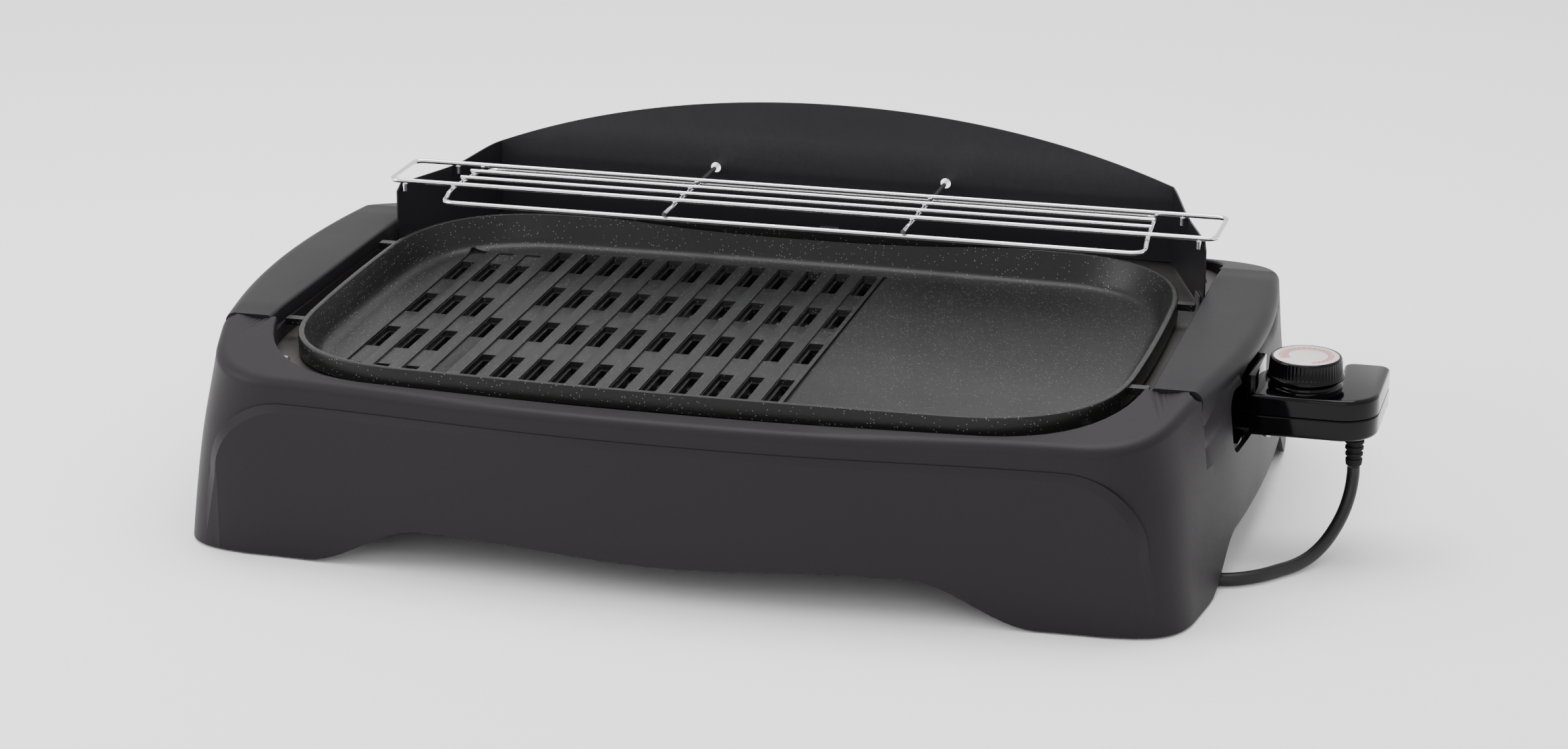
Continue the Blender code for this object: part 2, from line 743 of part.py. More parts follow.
def make_handle(side, name):
    """A crowned grip, hollow below, whose outer edge follows the housing's end."""
    low_z = HANDLE_SEAT_Z + GAP
    bm = bmesh.new()
    rings = [[(side * x, y, z) for x, z in handle_section(y)] for y in handle_stations()]
    join_rings(bm, [[bm.verts.new(point) for point in ring] for ring in rings])
    handle = from_bmesh(bm, smooth=True)
    bm = bmesh.new()
    low, high = sorted_box((side * (HANDLE_IN_X + 0.0035), HANDLE_FRONT_Y + 0.003, low_z - 0.002),
                           (side * 0.2740, HANDLE_REAR_Y - 0.003, low_z + 0.0050))
    add_box(bm, low, high)
    boolean(handle, tool_from(bm, "tool_" + name + "_hollow"), "DIFFERENCE")
    bm = bmesh.new()
    for x, y in handle_screw_spots(side):
        add_cylinder(bm, (x, y, low_z), (x, y, low_z + 0.0060), 0.0050, segments=16)
    boolean(handle, tool_from(bm, "tool_" + name + "_bosses"), "UNION")
    bm = bmesh.new()
    for x, y in handle_screw_spots(side):
        add_cylinder(bm, (x, y, low_z - 0.001), (x, y, low_z + 0.0050), 0.0019, segments=12)
    boolean(handle, tool_from(bm, "tool_" + name + "_holes"), "DIFFERENCE")
    return place(handle, name, "handle_plastic")


make_handle(-1, "handle_left")
make_handle(1, "handle_right")


def make_screw(name, x, y, head_z, tip_z, shank=0.0015, head=0.0032, head_height=0.0018, parent=None):
    """A pan-head screw along Z, pointing from its head to its tip."""
    way = 1 if tip_z > head_z else -1
    profile = [(0.0, head_z - way * head_height), (head * 0.72, head_z - way * head_height),
               (head, head_z - way * head_height * 0.45), (head, head_z), (shank, head_z),
               (shank, tip_z - way * 0.0012), (0.0, tip_z)]
    return place(from_bmesh(turned(profile, (x, y), 12), True), name, "steel", parent)


def corner_name(x, y):
    return ("left" if x < 0 else "right") + ("_front" if y < 0 else "_rear")


for side in (-1, 1):
    for x, y in handle_screw_spots(side):
        make_screw("handle_screw_" + corner_name(x, y), x, y, 0.1052 - GAP, HANDLE_SEAT_Z + 0.0045)

for x, y in foot_spots():
    foot = turned([(0.0, 0.0), (0.0078, 0.0), (0.0084, 0.0007), (0.0084, BASE_BOTTOM + 0.0003),
                   (0.0022, BASE_BOTTOM + 0.0003), (0.0022, 0.0060), (0.0, 0.0060)], (x, y), 16)
    place(from_bmesh(foot, True), "foot_" + corner_name(x, y), "rubber")


# ---------------------------------------------------------------- liner and drip tray
LINER_TOP = SKIRT_BOTTOM - GAP
LINER_SHEET = 0.0010


def liner_ring(half_x, front, rear, corner):
    return plan_outline(half_x, 8.0, front, rear, RIM_BOW, corner)


def make_liner():
    """Sheet-steel frame under the plate: a flat flange and a skirt that shields the housing."""
    wide = liner_ring(OPENING_X + 0.0015, -0.1830, 0.1820, (0.085, 0.040))
    edge = liner_ring(0.2350, -0.1725, 0.1260, 0.076)
    edge_in = liner_ring(0.2340, -0.1715, 0.1250, 0.076)
    low = liner_ring(0.2305, -0.1680, 0.1215, 0.074)
    low_in = liner_ring(0.2295, -0.1670, 0.1205, 0.074)
    top, under = LINER_TOP, LINER_TOP - LINER_SHEET
    rings = [ring_at(wide, under), ring_at(wide, top), ring_at(edge_in, top),
             ring_at(low_in, 0.0600), ring_at(low, 0.0600), ring_at(edge, under)]
    liner = from_bmesh(loft(rings), smooth=True)
    bm = bmesh.new()
    for x, y in liner_screw_spots():
        add_cylinder(bm, (x, y, 0.09), (x, y, 0.11), 0.0022, segments=12)
    low_cut, high_cut = (0.2100, THERMO_Y - 0.034, 0.050), (0.2480, THERMO_Y + 0.034, 0.0978)
    add_box(bm, low_cut, high_cut)
    boolean(liner, tool_from(bm, "tool_liner_holes"), "DIFFERENCE")
    return place(liner, "heat_shield_frame", "aluminised_steel")


make_liner()

for x, y in liner_screw_spots():
    make_screw("frame_screw_" + corner_name(x, y), x, y, LINER_TOP + GAP, 0.0915)


TRAY_HALF = (0.205, 0.128)
TRAY_CENTRE_Y = -0.022
TRAY_BOTTOM = 0.0330
TRAY_TOP = 0.0545


def make_tray():
    """A shallow pan that catches what runs through the slots."""
    def ring(inset, z):
        outline = rounded_rectangle(TRAY_HALF[0] - inset, TRAY_HALF[1] - inset, 0.030 - inset * 0.5, 6,
                                    (0.0, TRAY_CENTRE_Y))
        return [(x, y, z) for x, y in outline]
    sheet = 0.0008
    rings = [ring(0.0155, TRAY_BOTTOM), ring(0.0125, TRAY_BOTTOM + 0.0010), ring(0.0080, TRAY_TOP - sheet),
             ring(0.0, TRAY_TOP - sheet), ring(0.0, TRAY_TOP), ring(0.0088, TRAY_TOP),
             ring(0.0133, TRAY_BOTTOM + 0.0018), ring(0.0163, TRAY_BOTTOM + sheet)]
    return place(from_bmesh(loft(rings, caps=True), smooth=True), "drip_tray", "aluminised_steel")


make_tray()


def make_rail(y, name):
    """A folded steel strip from end wall to end wall; the drip tray stands on the pair."""
    half = 0.2760
    sheet = 0.0010
    top = TRAY_BOTTOM - GAP
    outline = [(y - 0.007, top - 0.006), (y - 0.007 + sheet, top - 0.006), (y - 0.007 + sheet, top - sheet),
               (y + 0.007 - sheet, top - sheet), (y + 0.007 - sheet, top - 0.006),
               (y + 0.007, top - 0.006), (y + 0.007, top), (y - 0.007, top)]
    return place(from_bmesh(prism(outline, "X", -half, half)), name, "steel")


make_rail(-0.095, "tray_rail_front")
make_rail(0.055, "tray_rail_rear")


# ---------------------------------------------------------------- grill plate
def plate_ring(inset, z):
    outline = plan_outline(RIM_X - inset, RIM_SIDE_RADIUS, RIM_FRONT_Y + inset, RIM_REAR_Y - inset,
                           RIM_BOW, RIM_CORNER - inset * 0.7, side_centre=RIM_CENTRE_Y)
    return [(x, y, z) for x, y in outline]


def slot_columns():
    """(x, shift along y, rows) for every column of slots."""
    columns = []
    for i in range(-1, 11):
        columns.append((FIRST_SLOT_X + i * RIB_PITCH, 0.0, (0, 2) if i == -1 else (0, 1, 2, 3)))
    for i in (-4, -3, -2):
        columns.append((FIRST_SLOT_X + i * RIB_PITCH, LEFT_GROUP_SHIFT, (0, 1, 2, 3)))
    return columns


def make_plate():
    """A dished casting: deep rim, sloping inner wall, ribs with drain slots, and a smooth griddle."""
    rings = [plate_ring(0.0110, PLATE_UNDER_Z), plate_ring(0.0072, RIM_Z - SKIRT_HEIGHT + 0.0010),
             plate_ring(0.0045, RIM_Z - SKIRT_HEIGHT), plate_ring(0.0, RIM_Z - SKIRT_HEIGHT),
             plate_ring(0.0, RIM_Z - 0.0008), plate_ring(0.0008, RIM_Z),
             plate_ring(RIM_TOP_WIDTH - 0.0008, RIM_Z), plate_ring(RIM_TOP_WIDTH, RIM_Z - 0.0008),
             plate_ring(0.0092, COOK_Z + 0.0050), plate_ring(0.0118, COOK_Z + 0.0014),
             plate_ring(0.0165, COOK_Z)]
    plate = from_bmesh(loft(rings, caps=True), smooth=True)

    bm = bmesh.new()
    for x, shift, _ in slot_columns():
        add_box(bm, (x - GROOVE_WIDTH / 2, -0.1530, COOK_Z - GROOVE_DEPTH),
                (x + GROOVE_WIDTH / 2, 0.1040 + shift * 0.3, COOK_Z + 0.0020))
    boundary_x = FIRST_SLOT_X + 10.5 * RIB_PITCH
    add_box(bm, (boundary_x - 0.0012, -0.1530, COOK_Z - 0.0020),
            (boundary_x + 0.0012, 0.1080, COOK_Z + 0.0020))
    boolean(plate, tool_from(bm, "tool_grooves"), "DIFFERENCE")

    bm = bmesh.new()
    for x, shift, rows in slot_columns():
        for row in rows:
            y = REAR_ROW_Y - row * ROW_PITCH + shift
            add_box(bm, (x - SLOT_WIDTH / 2, y - SLOT_LENGTH / 2, PLATE_UNDER_Z - 0.002),
                    (x + SLOT_WIDTH / 2, y + SLOT_LENGTH / 2, COOK_Z + 0.0010))
    boolean(plate, tool_from(bm, "tool_slots"), "DIFFERENCE")

    bm = bmesh.new()
    for side in (-1, 1):
        for y in EAR_Y:
            rim_x = RIM_X - (y - RIM_CENTRE_Y) ** 2 / (2 * RIM_SIDE_RADIUS)
            low, high = sorted_box((side * (rim_x - 0.0015), y - 0.0030, RIM_Z - EAR_DROP),
                                   (side * (RIM_X + 0.0080), y + 0.0030, RIM_Z - 0.0014))
            add_box(bm, low, high)
    boolean(plate, tool_from(bm, "tool_ears"), "UNION")

    bm = bmesh.new()
    add_box(bm, (-0.1850, RIM_REAR_Y - 0.0052, RIM_Z - 0.0062), (0.1880, RIM_REAR_Y - 0.0028, RIM_Z + 0.0010))
    boolean(plate, tool_from(bm, "tool_rear_step"), "DIFFERENCE")
    place(plate, "grill_plate", "nonstick")
    return plate


plate_tools_before = set(bpy.data.objects)
plate = make_plate()
tilt = (Matrix.Translation(PLATE_PIVOT) @ Matrix.Rotation(PLATE_TILT, 4, "X")
        @ Matrix.Translation(Vector(PLATE_PIVOT)).inverted())
for obj in set(bpy.data.objects) - plate_tools_before:
    obj.data.transform(tilt)


# ---------------------------------------------------------------- heating element and terminals
ELEMENT_D = 0.0066
ELEMENT_Z = 0.0790
ELEMENT_FRONT_Y = REAR_ROW_Y - 2.5 * ROW_PITCH
ELEMENT_REAR_Y = REAR_ROW_Y - 0.5 * ROW_PITCH
ELEMENT_LEFT_X = FIRST_SLOT_X - 1.5 * RIB_PITCH
element_corners = [
    (0.2380, THERMO_Y - PIN_SPACING, ELEMENT_Z), (0.2150, THERMO_Y - PIN_SPACING, ELEMENT_Z),
    (0.1850, ELEMENT_FRONT_Y, ELEMENT_Z), (ELEMENT_LEFT_X, ELEMENT_FRONT_Y, ELEMENT_Z),
    (ELEMENT_LEFT_X, ELEMENT_REAR_Y, ELEMENT_Z), (0.1850, ELEMENT_REAR_Y, ELEMENT_Z),
    (0.2150, THERMO_Y + PIN_SPACING, ELEMENT_Z), (0.2380, THERMO_Y + PIN_SPACING, ELEMENT_Z)]
element = wire_object(round_path(element_corners, 0.018, 5), ELEMENT_D, bevel_resolution=2)
place(element, "heating_element", "steel")


def add_x_bar(bm, x0, x1, y, z, radius, segments=14):
    add_cylinder(bm, (x0, y, z), (x1, y, z), radius, segments=segments)


PIN_START = 0.2380 + GAP
PIN_END = 0.2760
for sign, which in ((-1, "front"), (1, "rear")):
    bm = bmesh.new()
    add_x_bar(bm, PIN_START, PIN_END, THERMO_Y + sign * PIN_SPACING, ELEMENT_Z, 0.0020)
    place(from_bmesh(bm, True), "terminal_pin_" + which, "brass")

HOLDER = (0.2420, 0.2520)


def make_pin_holder():
    """Ceramic block on the element's cold ends; the probe tube passes between the pins."""
    outline = [(THERMO_Y + u, v) for u, v in rounded_rectangle(0.0205, 0.0068, 0.004, 4, (0.0, ELEMENT_Z))]
    holder = from_bmesh(prism(outline, "X", *HOLDER), smooth=True)
    bm = bmesh.new()
    for sign in (-1, 0, 1):
        radius = 0.0032 if sign == 0 else 0.0020 + GAP
        add_x_bar(bm, 0.2300, 0.2600, THERMO_Y + sign * PIN_SPACING, ELEMENT_Z, radius)
    boolean(holder, tool_from(bm, "tool_pin_holder"), "DIFFERENCE")
    return place(holder, "pin_holder", "ceramic")


make_pin_holder()


def make_shroud():
    """Folded steel guard round the pins, open towards the thermostat."""
    outer = [(THERMO_Y + u, v) for u, v in rounded_rectangle(0.0250, 0.0100, 0.004, 4, (0.0, ELEMENT_Z))]
    inner = [(THERMO_Y + u, v) for u, v in rounded_rectangle(0.0240, 0.0090, 0.003, 4, (0.0, ELEMENT_Z))]
    shroud = from_bmesh(prism(outer, "X", HOLDER[1] + GAP, 0.2790), smooth=True)
    hollow = tool_from(prism(inner, "X", HOLDER[1] + GAP + 0.0010, 0.2900), "tool_shroud_hollow")
    boolean(shroud, hollow, "DIFFERENCE")
    bm = bmesh.new()
    for sign in (-1, 0, 1):
        radius = 0.0032 if sign == 0 else 0.0034
        add_x_bar(bm, 0.2400, 0.2600, THERMO_Y + sign * PIN_SPACING, ELEMENT_Z, radius)
    boolean(shroud, tool_from(bm, "tool_shroud_holes"), "DIFFERENCE")
    return place(shroud, "socket_shroud", "steel")


make_shroud()

# ---------------------------------------------------------------- wind guard and its clips
guard_axis = empty("wind_guard_lift", (0.0, GUARD_Y, GUARD_BOTTOM_Z))


def guard_top(x):
    """Top edge of the back panel: a long shallow arch that steepens at its ends."""
    return GUARD_TOP_Z - 0.72 * x * x - 2.1 * x ** 4


def make_guard():
    """One sheet: an arched back panel with a wing folded forward at each end."""
    wing_run = (GUARD_Y - GUARD_FRONT_Y)
    columns = []
    for k in range(9):
        t = 1 - k / 8
        x = -(GUARD_BEND_X + (GUARD_FRONT_X - GUARD_BEND_X) * t)
        top = WING_TOP_Z + (guard_top(GUARD_BEND_X) - WING_TOP_Z) * smoothstep((0.50 - t) / 0.50)
        if k == 0:
            top -= 0.0045
        columns.append((x, GUARD_Y - wing_run * t, top))
    steps = 26
    for k in range(1, steps):
        x = -GUARD_BEND_X + 2 * GUARD_BEND_X * k / steps
        columns.append((x, GUARD_Y, guard_top(x)))
    columns += [(-x, y, z) for x, y, z in columns[8::-1]]
    first = columns[0]
    columns.insert(1, (first[0] + 0.0010, first[1] + 0.0030, WING_TOP_Z - 0.0012))
    last = columns[-1]
    columns.insert(len(columns) - 1, (last[0] - 0.0010, last[1] + 0.0030, WING_TOP_Z - 0.0012))
    bm = bmesh.new()
    low = [bm.verts.new((x, y, GUARD_BOTTOM_Z)) for x, y, z in columns]
    high = [bm.verts.new((x, y, z)) for x, y, z in columns]
    for i in range(len(columns) - 1):
        bm.faces.new((low[i], low[i + 1], high[i + 1], high[i]))
    guard = from_bmesh(bm)
    skin = guard.modifiers.new("sheet", "SOLIDIFY")
    skin.thickness = GUARD_SHEET
    skin.offset = 0.0
    skin.use_even_offset = True
    bm = bmesh.new()
    for side in (-1, 1):
        x = side * CROSS_WIRE_X
        add_cylinder(bm, (x, GUARD_Y - 0.01, CROSS_Z), (x, GUARD_Y + 0.01, CROSS_Z), WIRE_HOLE_R, segments=20)
    boolean(guard, tool_from(bm, "tool_guard_holes"), "DIFFERENCE")
    return place(guard, "wind_guard", "painted_steel", guard_axis)


make_guard()


def clip_outline(thick, slot, height, floor):
    """A U in cross-section, as (across, up)."""
    half = slot / 2 + thick
    return [(-half, 0.0), (half, 0.0), (half, height), (slot / 2, height), (slot / 2, floor),
            (-slot / 2, floor), (-slot / 2, height), (-half, height)]


def make_guard_clip(name, spot, way):
    """A bright U-clip on the frame that holds the guard's lower edge."""
    across = Vector((-way.y, way.x))
    floor = GUARD_BOTTOM_Z - LINER_TOP - 2 * GAP
    outline = clip_outline(0.0008, GUARD_SHEET + 0.0008, 0.0075, floor)
    rings = []
    for step in (-0.006, 0.006):
        rings.append([(spot[0] + way.x * step + across.x * u, spot[1] + way.y * step + across.y * u,
                       LINER_TOP + GAP + v) for u, v in outline])
    return place(from_bmesh(loft(rings, caps=True)), name, "steel")


CLIP_X = GUARD_FRONT_X - 0.0045
CLIP_Y = GUARD_Y - (CLIP_X - GUARD_BEND_X) * (GUARD_Y - GUARD_FRONT_Y) / (GUARD_FRONT_X - GUARD_BEND_X)
for side, which in ((-1, "left"), (1, "right")):
    wing = Vector((side * (GUARD_FRONT_X - GUARD_BEND_X), GUARD_FRONT_Y - GUARD_Y)).normalized()
    make_guard_clip("guard_clip_" + which, (side * CLIP_X, CLIP_Y), wing)
make_guard_clip("guard_clip_rear", (0.0, GUARD_Y), Vector((-1.0, 0.0)))


# ---------------------------------------------------------------- warming rack
rack_axis = empty("rack_slide", (0.0, LOOP_REAR_Y, RACK_TOP_Z))
rack_axis.parent = guard_axis
rack_axis.matrix_parent_inverse = Matrix.Translation(guard_axis.location).inverted()


def rack_part(obj, name):
    place(obj, name, "chrome")
    obj.parent = rack_axis
    obj.matrix_parent_inverse = Matrix.Translation(Vector((0.0, LOOP_REAR_Y, RACK_TOP_Z))).inverted()
    return obj


loop = round_path([(-LOOP_HALF, LOOP_FRONT_Y, RACK_TOP_Z), (LOOP_HALF, LOOP_FRONT_Y, RACK_TOP_Z),
                   (LOOP_HALF, LOOP_REAR_Y, RACK_TOP_Z), (-LOOP_HALF, LOOP_REAR_Y, RACK_TOP_Z)],
                  0.0065, 4, closed=True)
rack_part(wire_object(loop, WIRE, closed=True), "rack_support_loop")

BASKET_SIDE_Z = RACK_TOP_Z - (WIRE + THIN_WIRE) / 2 - GAP
basket_corners = []
for x, y, inner in ((-BASKET_FRONT_HALF, BASKET_FRONT_Y, 0.012), (BASKET_FRONT_HALF, BASKET_FRONT_Y, 0.012),
                    (BASKET_REAR_HALF, BASKET_REAR_Y, 0.012), (-BASKET_REAR_HALF, BASKET_REAR_Y, 0.012)):
    basket_corners.append((x, y, BASKET_Z))
basket = []
for point in round_path(basket_corners, 0.010, 4, closed=True):
    basket.append(point)


def basket_side(side):
    """The end of the basket rises so that the inner wires can lie on it."""
    out = []
    for t in (0.14, 0.30, 0.50, 0.70, 0.86):
        x = BASKET_FRONT_HALF + (BASKET_REAR_HALF - BASKET_FRONT_HALF) * t
        y = BASKET_FRONT_Y + (BASKET_REAR_Y - BASKET_FRONT_Y) * t
        lift = smoothstep(min(t, 1 - t) / 0.30)
        out.append((side * x, y, BASKET_Z + (BASKET_SIDE_Z - BASKET_Z) * lift))
    return out


right_side = basket_side(1)
left_side = basket_side(-1)
basket = basket[:10] + right_side + basket[10:20] + left_side[::-1]
rack_part(wire_object(basket, WIRE, closed=True), "rack_basket_loop")


def make_wire(start, end, diameter, name):
    """One straight welded wire."""
    bm = bmesh.new()
    add_cylinder(bm, start, end, diameter / 2, segments=8)
    return rack_part(from_bmesh(bm, True), name)


def basket_half_at(y):
    t = (y - BASKET_FRONT_Y) / (BASKET_REAR_Y - BASKET_FRONT_Y)
    return BASKET_FRONT_HALF + (BASKET_REAR_HALF - BASKET_FRONT_HALF) * t


for y, which in zip(INNER_WIRE_Y, ("front", "rear")):
    half = basket_half_at(y) + 0.001
    make_wire((-half, y, RACK_TOP_Z), (half, y, RACK_TOP_Z), THIN_WIRE, "rack_inner_wire_" + which)
for side, which in ((-1, "left"), (1, "right")):
    x = side * CROSS_WIRE_X
    make_wire((x, CROSS_FRONT_Y, CROSS_Z), (x, CROSS_REAR_Y, CROSS_Z), WIRE, "rack_cross_wire_" + which)
    for y, end in ((LOOP_FRONT_Y, "front"), (LOOP_REAR_Y, "rear")):
        t = (GUARD_Y - y) / (GUARD_Y - GUARD_FRONT_Y)
        x = side * (GUARD_BEND_X + (GUARD_FRONT_X - GUARD_BEND_X) * t - 0.0036)
        top = RACK_TOP_Z - WIRE / 2 - GAP
        make_wire((x, y, top), (x, y, top - 0.0045), WIRE, "rack_stud_%s_%s" % (which, end))


# ---------------------------------------------------------------- thermostat
thermo_axis = empty("thermostat_slide", (THERMO_LEFT, THERMO_Y, PROBE_Z))
knob_axis = empty("knob_turn", (KNOB_X, THERMO_Y, KNOB_BASE_Z))
knob_axis.parent = thermo_axis
knob_axis.matrix_parent_inverse = Matrix.Translation(thermo_axis.location).inverted()


def thermo_outline(inset=0.0):
    """Plan of the thermostat: a straight arm and an end block that reaches back."""
    front = THERMO_Y - THERMO_HALF_DEPTH + inset
    arm_rear = THERMO_Y + THERMO_HALF_DEPTH - inset
    left, right = THERMO_LEFT + inset, THERMO_RIGHT - inset
    step, rear = ARM_LEFT + inset, ARM_REAR_Y - inset
    points = [(left, front)]
    big = 0.021 - inset
    for k in range(7):
        a = math.radians(-90 + 90 * k / 6)
        points.append((right - big + big * math.cos(a), front + big + big * math.sin(a)))
    small = 0.0045
    for k in range(4):
        a = math.radians(90 * k / 3)
        points.append((right - small + small * math.cos(a), rear - small + small * math.sin(a)))
    for k in range(4):
        a = math.radians(90 + 90 * k / 3)
        points.append((step + small + small * math.cos(a), rear - small + small * math.sin(a)))
    points += [(step, arm_rear), (left, arm_rear)]
    return points


def thermo_ring(inset, z):
    return [(x, y, z) for x, y in thermo_outline(inset)]


def make_shell(name, rings, cutters):
    shell = from_bmesh(loft(rings, caps=True), smooth=True)
    for index, (bm, operation) in enumerate(cutters):
        boolean(shell, tool_from(bm, "tool_%s_%d" % (name, index)), operation)
    return place(shell, name, "gloss_plastic", thermo_axis)


SHELL_WALL = 0.0022
upper_cuts = bmesh.new()
add_cylinder(upper_cuts, (KNOB_X, THERMO_Y, 0.090), (KNOB_X, THERMO_Y, 0.110), 0.0036, segments=16)
collar = turned([(0.0036, THERMO_TOP - 0.0008), (0.0205, THERMO_TOP - 0.0008), (0.0205, THERMO_TOP + 0.0016),
                 (0.0192, THERMO_TOP + 0.0040), (0.0036, THERMO_TOP + 0.0040)], (KNOB_X, THERMO_Y), 36)
flange = bmesh.new()
add_box(flange, (0.2936, THERMO_Y - FLANGE_HALF, 0.0870), (0.2978, THERMO_Y + FLANGE_HALF, FLANGE_TOP_Z))
upper_hollow = loft([thermo_ring(SHELL_WALL, THERMO_SEAM - 0.001),
                     thermo_ring(SHELL_WALL, THERMO_TOP - SHELL_WALL)], True)
upper_neck = bmesh.new()
add_box(upper_neck, (0.2840, THERMO_Y - 0.0180, THERMO_SEAM + GAP / 2), (0.2960, THERMO_Y + 0.0180, 0.0895))
upper_shell = make_shell("thermostat_upper_shell", [
    thermo_ring(0.0, THERMO_SEAM + GAP / 2), thermo_ring(0.0, THERMO_TOP - 0.0022),
    thermo_ring(0.0008, THERMO_TOP - 0.0006), thermo_ring(0.0024, THERMO_TOP),
], [(upper_hollow, "DIFFERENCE"), (collar, "UNION"), (flange, "UNION"), (upper_neck, "UNION"),
    (upper_cuts, "DIFFERENCE")])

lower_neck = bmesh.new()
add_box(lower_neck, (0.2840, THERMO_Y - 0.0180, 0.0745), (0.2960, THERMO_Y + 0.0180, THERMO_SEAM - GAP / 2))
neck_bore = bmesh.new()
add_box(neck_bore, (0.2800, THERMO_Y - 0.0158, 0.0755), (0.3000, THERMO_Y + 0.0158, THERMO_SEAM + 0.0010))
gland_hole = bmesh.new()
add_cylinder(gland_hole, (*CORD_EXIT, THERMO_BOTTOM - 0.002), (*CORD_EXIT, THERMO_BOTTOM + 0.006), 0.0041,
             segments=16)
lower_hollow = loft([thermo_ring(SHELL_WALL, THERMO_BOTTOM + SHELL_WALL),
                     thermo_ring(SHELL_WALL, THERMO_SEAM + 0.001)], True)
make_shell("thermostat_lower_shell", [
    thermo_ring(0.0024, THERMO_BOTTOM), thermo_ring(0.0008, THERMO_BOTTOM + 0.0006),
    thermo_ring(0.0, THERMO_BOTTOM + 0.0022), thermo_ring(0.0, THERMO_SEAM - GAP / 2),
], [(lower_hollow,
     "DIFFERENCE"), (lower_neck, "UNION"), (neck_bore, "DIFFERENCE"), (gland_hole, "DIFFERENCE")])

upper_bore = bmesh.new()
add_box(upper_bore, (0.2800, THERMO_Y - 0.0158, THERMO_SEAM - 0.001), (0.3000, THERMO_Y + 0.0158, 0.0872))
boolean(upper_shell, tool_from(upper_bore, "tool_upper_bore"), "DIFFERENCE")


def make_carrier():
    """Insulating block that carries the contact sleeves and the probe."""
    bm = bmesh.new()
    add_box(bm, (0.2862, THERMO_Y - 0.0155, 0.0768), (0.3100, THERMO_Y + 0.0155, THERMO_SEAM + 0.0020))
    carrier = from_bmesh(bm)
    holes = bmesh.new()
    add_x_bar(holes, 0.2700, 0.3200, THERMO_Y, ELEMENT_Z, 0.0028)
    for sign in (-1, 1):
        add_x_bar(holes, 0.2700, 0.3200, THERMO_Y + sign * PIN_SPACING, ELEMENT_Z, 0.0016)
    boolean(carrier, tool_from(holes, "tool_carrier"), "DIFFERENCE")
    return place(carrier, "contact_carrier", "ceramic", thermo_axis)


make_carrier()

# probe tube between the pins
probe = turned([(0.0, 0.0), (0.0018, 0.0), (0.0025, 0.0012), (0.0025, 0.0720), (0.0, 0.0720)], (0.0, 0.0), 14)
probe_turn = Matrix.Translation((0.2340, THERMO_Y, ELEMENT_Z)) @ Matrix.Rotation(math.radians(90), 4, "Y")
bmesh.ops.transform(probe, matrix=probe_turn, verts=probe.verts)
place(from_bmesh(probe, True), "probe_tube", "steel", thermo_axis)


def make_sleeve(sign, name):
    """A tube that grips one pin."""
    profile = [(0.0024, 0.0), (0.0031, 0.0), (0.0031, 0.0240), (0.0014, 0.0240), (0.0014, 0.0440),
               (0.0, 0.0440), (0.0, 0.0215), (0.0024, 0.0215)]
    piece = turned(profile, (0.0, 0.0), 14)
    matrix = (Matrix.Translation((0.2620, THERMO_Y + sign * PIN_SPACING, ELEMENT_Z))
              @ Matrix.Rotation(math.radians(90), 4, "Y"))
    bmesh.ops.transform(piece, matrix=matrix, verts=piece.verts)
    return place(from_bmesh(piece, True), name, "brass", thermo_axis)


make_sleeve(-1, "contact_sleeve_front")
make_sleeve(1, "contact_sleeve_rear")

bm = bmesh.new()
add_box(bm, (0.3125, THERMO_Y - 0.0090, THERMO_BOTTOM + 0.0026), (0.3335, THERMO_Y + 0.0090, 0.0830))
place(from_bmesh(bm), "switch_base", "ceramic", thermo_axis)

blade_side = [(0.3140, 0.0833), (0.3160, 0.0833), (0.3160, 0.0860),
              (0.3330, 0.0863), (0.3330, 0.0869), (0.3140, 0.0866)]
blade = prism(blade_side, "Y", THERMO_Y - 0.0030, THERMO_Y + 0.0030)
place(from_bmesh(blade), "bimetal_blade", "brass", thermo_axis)

THERMO_SCREWS = ((0.3050, THERMO_Y - 0.0180, "front"), (0.3560, 0.0120, "rear"))
holes = bmesh.new()
for x, y, which in THERMO_SCREWS:
    make_screw("thermostat_screw_" + which, x, y, THERMO_BOTTOM - GAP, THERMO_BOTTOM + 0.0018, 0.0010, 0.0026,
               0.0012, thermo_axis)
    add_cylinder(holes, (x, y, THERMO_BOTTOM - 0.001), (x, y, THERMO_BOTTOM + 0.004), 0.0014, segments=12)
boolean(bpy.data.objects["thermostat_lower_shell"], tool_from(holes, "tool_shell_screws"), "DIFFERENCE")


